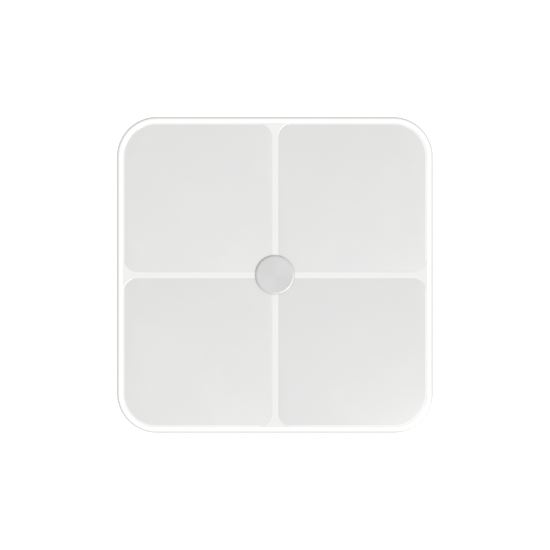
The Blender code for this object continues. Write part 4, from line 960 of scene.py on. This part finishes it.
# Feet.
footSizes = {"sides": 72, "claws": 1.5}
footCapProfile = [
    (17.5, 2.2),
    (17.5, 0.95),
    (17.65, 0.8),
    (19.45, 0.8),
    (19.65, 0.95),
    (20.0, 2.55),
    (19.92, 2.88),
    (19.70, 3.16),
    (19.40, 3.34),
    (19.05, 3.4),
    (7.4, 3.4),
    (7.0, 3.8),
    (7.0, 6.3),
    (8.8, 6.3),
    (8.9, 6.4),
    (8.9, 6.6),
    (7.57, 7.3),
    (5.6, 7.3),
    (5.4, 7.1),
    (5.4, 3.8),
    (3.5, 3.8),
    (3.5, 7.7),
    (3.2, 8.0),
]
padProfile = [
    (2.2, 0.35),
    (2.4, 0.0),
    (5.0, 0.0),
    (5.25, 0.35),
    (6.15, 0.35),
    (6.4, 0.0),
    (9.0, 0.0),
    (9.25, 0.35),
    (10.15, 0.35),
    (10.4, 0.0),
    (13.0, 0.0),
    (13.25, 0.35),
    (14.15, 0.35),
    (14.4, 0.0),
    (16.7, 0.0),
    (16.95, 0.07),
    (17.13, 0.25),
    (17.2, 0.5),
    (17.2, 1.7),
    (17.0, 1.9),
]


def makeFeet():
    place = (footMiddle, footMiddle)
    cap = turnPiece("footCap_rear_right", footCapProfile, place, footSizes["sides"])
    half = footSizes["claws"] / 2
    for way in (-1, 1):
        near, far = sorted((way * 4.45, way * 9.9))
        x, y = place
        slotX = addBlock("clawSlot", (x + near, y - half, 4.2), (x + far, y + half, 8.3))
        slotY = addBlock("clawSlot", (x - half, y + near, 4.2), (x + half, y + far, 8.3))
        carve(cap, slotX, slotY)
    pad = turnPiece("footPad_rear_right", padProfile, place, footSizes["sides"])
    for corner, (sideX, sideY) in corners.items():
        shift = ((sideX - 1) * footMiddle, (sideY - 1) * footMiddle)
        if corner == "rear_right":
            pair = (cap, pad)
        else:
            pair = (
                copyPiece(cap, f"footCap_{corner}", shift),
                copyPiece(pad, f"footPad_{corner}", shift),
            )
        putOn(pair[0], f"foot_{corner}", "foot_plastic", f"foot_cap_{corner}", smooth=28)
        putOn(pair[1], f"foot_{corner}", "foot_rubber", f"foot_pad_{corner}", smooth=28)


makeFeet()
print("feet made")


# Base tray.
traySizes = {
    "rimHalf": 146.0,
    "rimTop": 19.0,
    "rimFoot": 17.2,
    "slopeIn": 12.4,
    "slopeFoot": 5.76,
    "bottom": 4.0,
    "floorTop": 6.0,
    "insideTop": 139.6,
    "insideFoot": 131.06,
    "insideMeets": 13.88,
    "cornerSteps": 22,
    "ribSpots": (-80, -40, 0, 40, 80),
    "rib": 1.4,
    "ribReach": 7.0,
}
baySizes = {
    "middle": -62.0, "halfX": 26.2, "halfY": 16.75, "wall": 1.4, "roof": 17.5, "ledgeTop": 7.4
}
openingSizes = {"halfX": 29.0, "halfY": 19.55, "corner": 3.4, "ledge": 4.0}
pocketSizes = {"inner": 17.4, "wall": 1.4, "top": 10.0, "ledgeTop": 8.3, "well": 14.0}
postSizes = {"away": 21.4, "boss": 3.0, "bossTop": 11.1, "pin": 1.6, "pinTop": 14.2}
boardPosts = {
    "radius": 3.0,
    "top": 11.7,
    "hole": 1.4,
    "holeBottom": 7.2,
    "places": ((-30, -12), (30, -12), (-30, 98), (30, 98)),
}


doorSizes = {
    "halfX": 28.6,
    "halfY": 19.15,
    "corner": 3.0,
    "bottom": 4.0,
    "top": 5.7,
    "edge": 0.35,
    "tabAt": 14,
    "tabHalf": 4,
    "tabTop": 7.55,
    "armHalf": 6,
    "armFront": -80.15,
    "armRear": -79.15,
    "armTop": 8.6,
    "slotAt": 6.6,
}
wireSlots = {
    "away": 26.9,
    "halfX": 2,
    "halfY": 1.75,
    "z": 15.35,
    "halfZ": 0.7,
    "spots": ((-1, -73.1), (1, -50.9)),
}
scoopSizes = {"half": 10.2, "ahead": 7.2, "behind": 3.2, "corner": 4.7}
holeSizes = {"foot": 7.8, "button": 5.0, "buttonPlace": (24, 2)}
recessSizes = {"halfX": 44.5, "front": 29.5, "rear": 82.5, "corner": 3.5}
floorRibs = {"away": 60, "half": 0.7, "front": -30, "rear": 50, "height": 2.5}


def joinAll(pieces):
    activate(pieces[0])
    for piece in pieces:
        piece.select_set(True)
    bpy.ops.object.join()
    return pieces[0]


# A slab with all four upright edges rounded alike.
def roundedSlab(name, low, high, corner, steps=8):
    return roundUpright(addBlock(name, low, high), corner, steps)


def makeShellBody():
    half, middle = traySizes["rimHalf"], cornerMiddle
    body = roundedSlab(
        "baseTray",
        (-half, -half, traySizes["rimFoot"]),
        (half, half, traySizes["rimTop"] - 0.25),
        half - middle,
        traySizes["cornerSteps"],
    )
    stepFace(body, traySizes["rimTop"] - 0.25, [(0.08, 0.17), (0.17, 0.08)])
    slope = traySizes["slopeIn"]
    fall = traySizes["rimFoot"] - traySizes["slopeFoot"]
    turnUnder = [(0.40, 0.60), (0.55, 0.50), (0.70, 0.36), (0.80, 0.22), (0.75, 0.08)]
    shoulder = [(0.15, 0.30), (slope - 0.15, fall - 0.30)]
    stepFace(body, traySizes["rimFoot"], [*shoulder, *turnUnder, (0.3, 0.0)], up=False)
    top, foot = traySizes["insideTop"], traySizes["insideFoot"]
    meets = traySizes["insideMeets"]
    hollow = roundedSlab(
        "trayInside", (-top, -top, meets), (top, top, 21), top - middle, traySizes["cornerSteps"]
    )
    stepFace(hollow, meets, [(top - foot, meets - traySizes["floorTop"])], up=False)
    ribs = []
    thick, far = traySizes["rib"] / 2, top + 1
    near = far - traySizes["ribReach"]
    for spot in traySizes["ribSpots"]:
        for side in (-1, 1):
            low, high = sorted((side * near, side * far))
            ribs.append(addBlock("rib", (low, spot - thick, 5), (high, spot + thick, 19)))
            ribs.append(addBlock("rib", (spot - thick, low, 5), (spot + thick, high, 19)))
    carve(hollow, joinAll(ribs))
    return carve(body, hollow)


def trayFeatures():
    floorTop, under = traySizes["floorTop"], traySizes["floorTop"] - 1
    bay, ledge = baySizes, openingSizes["ledge"]
    outerX, outerY = bay["halfX"] + bay["wall"], bay["halfY"] + bay["wall"]
    bayBody = roundedSlab(
        "bayBody",
        (-outerX, bay["middle"] - outerY, under),
        (outerX, bay["middle"] + outerY, bay["roof"] + bay["wall"]),
        0.8,
        4,
    )
    ledgeX, ledgeY = openingSizes["halfX"] + ledge, openingSizes["halfY"] + ledge
    ledgeBody = roundedSlab(
        "bayLedge",
        (-ledgeX, bay["middle"] - ledgeY, under),
        (ledgeX, bay["middle"] + ledgeY, bay["ledgeTop"]),
        2.0,
        4,
    )
    loose = [
        addBlock(
            "floorRib",
            (side * floorRibs["away"] - floorRibs["half"], floorRibs["front"], under),
            (
                side * floorRibs["away"] + floorRibs["half"],
                floorRibs["rear"],
                floorTop + floorRibs["height"],
            ),
        )
        for side in (-1, 1)
    ]
    loose += [
        addRod("boardPost", boardPosts["radius"], under, boardPosts["top"], place, 32)
        for place in boardPosts["places"]
    ]
    outer = pocketSizes["inner"] + pocketSizes["wall"]
    posts, pins = [], []
    for sideX, sideY in corners.values():
        x, y = sideX * footMiddle, sideY * footMiddle
        wall = roundedSlab(
            "cellPocket",
            (x - outer, y - outer, under),
            (x + outer, y + outer, pocketSizes["top"]),
            1.2,
            4,
        )
        inner, well = pocketSizes["inner"], pocketSizes["well"]
        space = addBlock(
            "cellSpace", (x - inner, y - inner, pocketSizes["ledgeTop"]), (x + inner, y + inner, 14)
        )
        hole = addBlock("cellWell", (x - well, y - well, floorTop), (x + well, y + well, 14))
        loose.append(carve(wall, space, hole))
        for way in (-1, 1):
            place = (x, y + way * postSizes["away"])
            posts.append(
                addRod("clampPost", postSizes["boss"], under, postSizes["bossTop"], place, 32)
            )
            pins.append(
                addRod(
                    "clampPin",
                    postSizes["pin"],
                    postSizes["bossTop"] - 1,
                    postSizes["pinTop"] - 0.3,
                    place,
                    32,
                ),
            )
            stepFace(pins[-1], postSizes["pinTop"] - 0.3, [(0.3, 0.3)])
    return [bayBody, ledgeBody, joinAll(loose), joinAll(posts), joinAll(pins)]


# A hole's tool: wider for a short way at the underside, so that its edge is broken.
def flaredRod(name, radius, bottom, top, place):
    profile = [
        (radius + 0.3, bottom - 1), (radius + 0.3, bottom), (radius, bottom + 0.3), (radius, top)
    ]
    return turnPiece(name, profile, place, 64)


def trayCuts():
    bottom, floorTop = traySizes["bottom"], traySizes["floorTop"]
    bay, opening = baySizes, openingSizes
    rear, front = bay["middle"] + bay["halfY"], bay["middle"] - bay["halfY"]
    openingRear = bay["middle"] + opening["halfY"]
    openingFront = bay["middle"] - opening["halfY"]
    inside = roundedSlab(
        "bayInside", (-bay["halfX"], front, bottom - 1), (bay["halfX"], rear, bay["roof"]), 0.6, 4
    )
    doorway = roundedSlab(
        "doorway",
        (-opening["halfX"] - 0.25, openingFront - 0.25, bottom - 1),
        (opening["halfX"] + 0.25, openingRear + 0.25, bottom),
        opening["corner"] + 0.25,
    )
    stepFace(doorway, bottom, [(0.25, 0.25), (0.0, floorTop - bottom - 0.25)])
    tabRoom = doorSizes["tabHalf"] + 0.5
    armRoom = doorSizes["armHalf"] + 0.5
    rooms = [
        addBlock(
            "tabRoom",
            (side * doorSizes["tabAt"] - tabRoom, rear - 1, floorTop),
            (side * doorSizes["tabAt"] + tabRoom, openingRear + 5, floorTop + 3.6),
        )
        for side in (-1, 1)
    ]
    latchFront = -80.95  # a little ahead of the latch arm, so that it can bend
    rooms.append(
        addBlock(
            "latchRoom",
            (-armRoom, latchFront, floorTop - 0.5),
            (armRoom, front + 1, floorTop + 4.6),
        )
    )
    away, deep, wide, tall = (wireSlots[size] for size in ("away", "halfX", "halfY", "halfZ"))
    level = wireSlots["z"]
    rooms += [
        addBlock(
            "wireSlot",
            (side * away - deep, y - wide, level - tall),
            (side * away + deep, y + wide, level + tall),
        )
        for side, y in wireSlots["spots"]
    ]
    scoop = roundedSlab(
        "fingerScoop",
        (-scoopSizes["half"], openingFront - scoopSizes["ahead"], bottom - 1),
        (scoopSizes["half"], openingFront + scoopSizes["behind"], bottom),
        scoopSizes["corner"],
        12,
    )
    stepFace(scoop, bottom, [(0.10, 0.30), (0.25, 0.30), (0.50, 0.25), (0.85, 0.15)])
    holes = [
        flaredRod(
            "footHole", holeSizes["foot"], bottom, floorTop + 0.3, (x * footMiddle, y * footMiddle)
        )
        for x, y in corners.values()
    ]
    holes.append(
        flaredRod("buttonHole", holeSizes["button"], bottom, floorTop + 1, holeSizes["buttonPlace"])
    )
    holes += [
        addRod(
            "boardScrewHole",
            boardPosts["hole"],
            boardPosts["holeBottom"],
            boardPosts["top"] + 1,
            place,
            24,
        )
        for place in boardPosts["places"]
    ]
    label = roundedSlab(
        "labelRecess",
        (-recessSizes["halfX"], recessSizes["front"], bottom - 1),
        (recessSizes["halfX"], recessSizes["rear"], bottom),
        recessSizes["corner"],
    )
    stepFace(label, bottom, [(0.2, 0.2), (0.0, 0.25)])
    return [inside, doorway, *rooms, scoop, joinAll(holes), label]


def makeTray():
    tray = makeShellBody()
    attach(tray, *trayFeatures())
    carve(tray, *trayCuts())
    return putOn(tray, "base", "shell_plastic", "base_tray", smooth=24)


makeTray()
print("base tray made")


# Battery door.


def makeDoor():
    middle = baySizes["middle"]
    halfX, halfY, bottom, top, edge = (
        doorSizes[size] for size in ("halfX", "halfY", "bottom", "top", "edge")
    )
    door = roundedSlab(
        "batteryDoor",
        (-halfX, middle - halfY, bottom + edge),
        (halfX, middle + halfY, top - 0.2),
        doorSizes["corner"],
        10,
    )
    stepFace(
        door,
        bottom + edge,
        [
            (edge * 0.08, edge * 0.38),
            (edge * 0.22, edge * 0.32),
            (edge * 0.7, edge * 0.3),
            (0.3, 0.0),
        ],
        up=False,
    )
    stepFace(door, top - 0.2, [(0.2, 0.2)])
    rear = middle + baySizes["halfY"]
    hooks = []
    for side in (-1, 1):
        left = side * doorSizes["tabAt"] - doorSizes["tabHalf"]
        right = side * doorSizes["tabAt"] + doorSizes["tabHalf"]
        tabTop, lipRear = doorSizes["tabTop"], middle + openingSizes["halfY"] + 2.2
        riser = addBlock("tabRiser", (left, rear, top - 0.5), (right, rear + 2.0, tabTop))
        lip = addBlock("tabLip", (left, rear + 1.0, 6.3), (right, lipRear, tabTop))
        roundPicked(
            lip, "EDGE", 0.45, 4, lambda a, b: min(a.z, b.z) > 7.5 and min(a.y, b.y) > rear + 3
        )
        hooks.append(attach(riser, lip))
    arm = addBlock(
        "latchArm",
        (-doorSizes["armHalf"], doorSizes["armFront"], top - 0.5),
        (doorSizes["armHalf"], doorSizes["armRear"], doorSizes["armTop"]),
    )
    roundPicked(arm, "EDGE", 0.4, 4, lambda a, b: min(a.z, b.z) > 8.5)
    front = middle - halfY
    slots = [
        roundedSlab(
            "latchSlot",
            (side * doorSizes["slotAt"] - 0.6, front - 3, 2),
            (side * doorSizes["slotAt"] + 0.6, front + 8, 8),
            0.55,
            6,
        )
        for side in (-1, 1)
    ]
    grooves = []
    for index in range(3):
        groove = addRod("gripGroove", 0.42, -4.2, 4.2, sides=24)
        roundPicked(groove, "FACE", 0.3, 4, lambda c, n: abs(n.z) > 0.9)
        groove.rotation_euler.y = math.pi / 2
        groove.location = (0, (front + (index + 1) * 1.6) * mm, bottom * mm)
        grooves.append(applyPlace(groove))
    attach(door, joinAll(hooks), arm)
    carve(door, joinAll(slots), joinAll(grooves))
    return putOn(door, "battery_door", "shell_plastic", "battery_door", smooth=24)


makeDoor()
print("battery door made")


# Unit button and rating label.
buttonProfile = [
    (0.4, 4.85),
    (1.6, 4.82),
    (2.7, 4.68),
    (3.3, 4.54),
    (3.7, 4.50),
    (4.15, 4.52),
    (4.4, 4.62),
    (4.55, 4.78),
    (4.6, 5.0),
    (4.6, 6.3),
    (6.25, 6.3),
    (6.4, 6.42),
    (6.4, 6.9),
    (0.5, 6.9),
]
labelSizes = {
    "halfX": 44.0, "halfY": 26.0, "corner": 3.0, "middleY": 56.0, "bottom": 4.0, "top": 4.15
}


def makeUnderside():
    button = turnPiece("unitButton", buttonProfile, holeSizes["buttonPlace"], 72)
    putOn(button, "unit_button", "shell_plastic", "unit_button", smooth=30)
    x, y, middle = labelSizes["halfX"], labelSizes["halfY"], labelSizes["middleY"]
    label = roundedSlab(
        "ratingLabel",
        (-x, middle - y, labelSizes["bottom"] + 0.03),
        (x, middle + y, labelSizes["top"]),
        labelSizes["corner"],
    )
    stepFace(label, labelSizes["bottom"] + 0.03, [(0.03, 0.03), (0.3, 0.0)], up=False)
    putOn(label, "base", "label_film", "rating_label")


makeUnderside()
print("unit button and label made")


# Batteries.
batteryProfile = [
    (3.6, 0.35),
    (3.75, 0.0),
    (4.55, 0.0),
    (4.75, 0.25),
    (4.95, 0.12),
    (5.17, 0.22),
    (5.25, 0.5),
    (5.25, 42.7),
    (5.18, 43.0),
    (4.95, 43.15),
    (4.6, 43.1),
    (4.5, 42.85),
    (3.0, 42.85),
    (2.9, 43.25),
    (2.0, 43.3),
    (1.9, 43.4),
    (1.9, 44.2),
    (1.8, 44.42),
    (1.5, 44.5),
]
batterySizes = {"z": 11.95, "pitch": 11.1, "nubEnd": 25.2, "length": 44.5, "wrapRadius": 4.9}


def makeBatteries():
    for index in range(3):
        way = 1 if index % 2 == 0 else -1
        battery = turnPiece(f"battery{index + 1}", batteryProfile, sides=64)
        battery.rotation_euler.y = way * math.pi / 2
        y = baySizes["middle"] + (1 - index) * batterySizes["pitch"]
        start = way * (batterySizes["nubEnd"] - batterySizes["length"])
        battery.location = (start * mm, y * mm, batterySizes["z"] * mm)
        applyPlace(battery)
        putOn(battery, "base", "battery_wrap", f"battery_{index + 1}", smooth=30)
        battery.data.materials.append(finishes["steel"])
        for face in battery.data.polygons:
            middle = face.center / mm
            away = math.hypot(middle.y - y, middle.z - batterySizes["z"])
            face.material_index = 0 if away > batterySizes["wrapRadius"] else 1


makeBatteries()
print("batteries made")

# Everything else that the frame carries.
for part in frame["record"]["subparts"]:
    node = nodes[part["node"]]
    node.data.materials.clear()
    node.data.materials.append(finishes[part["material_slot"]])
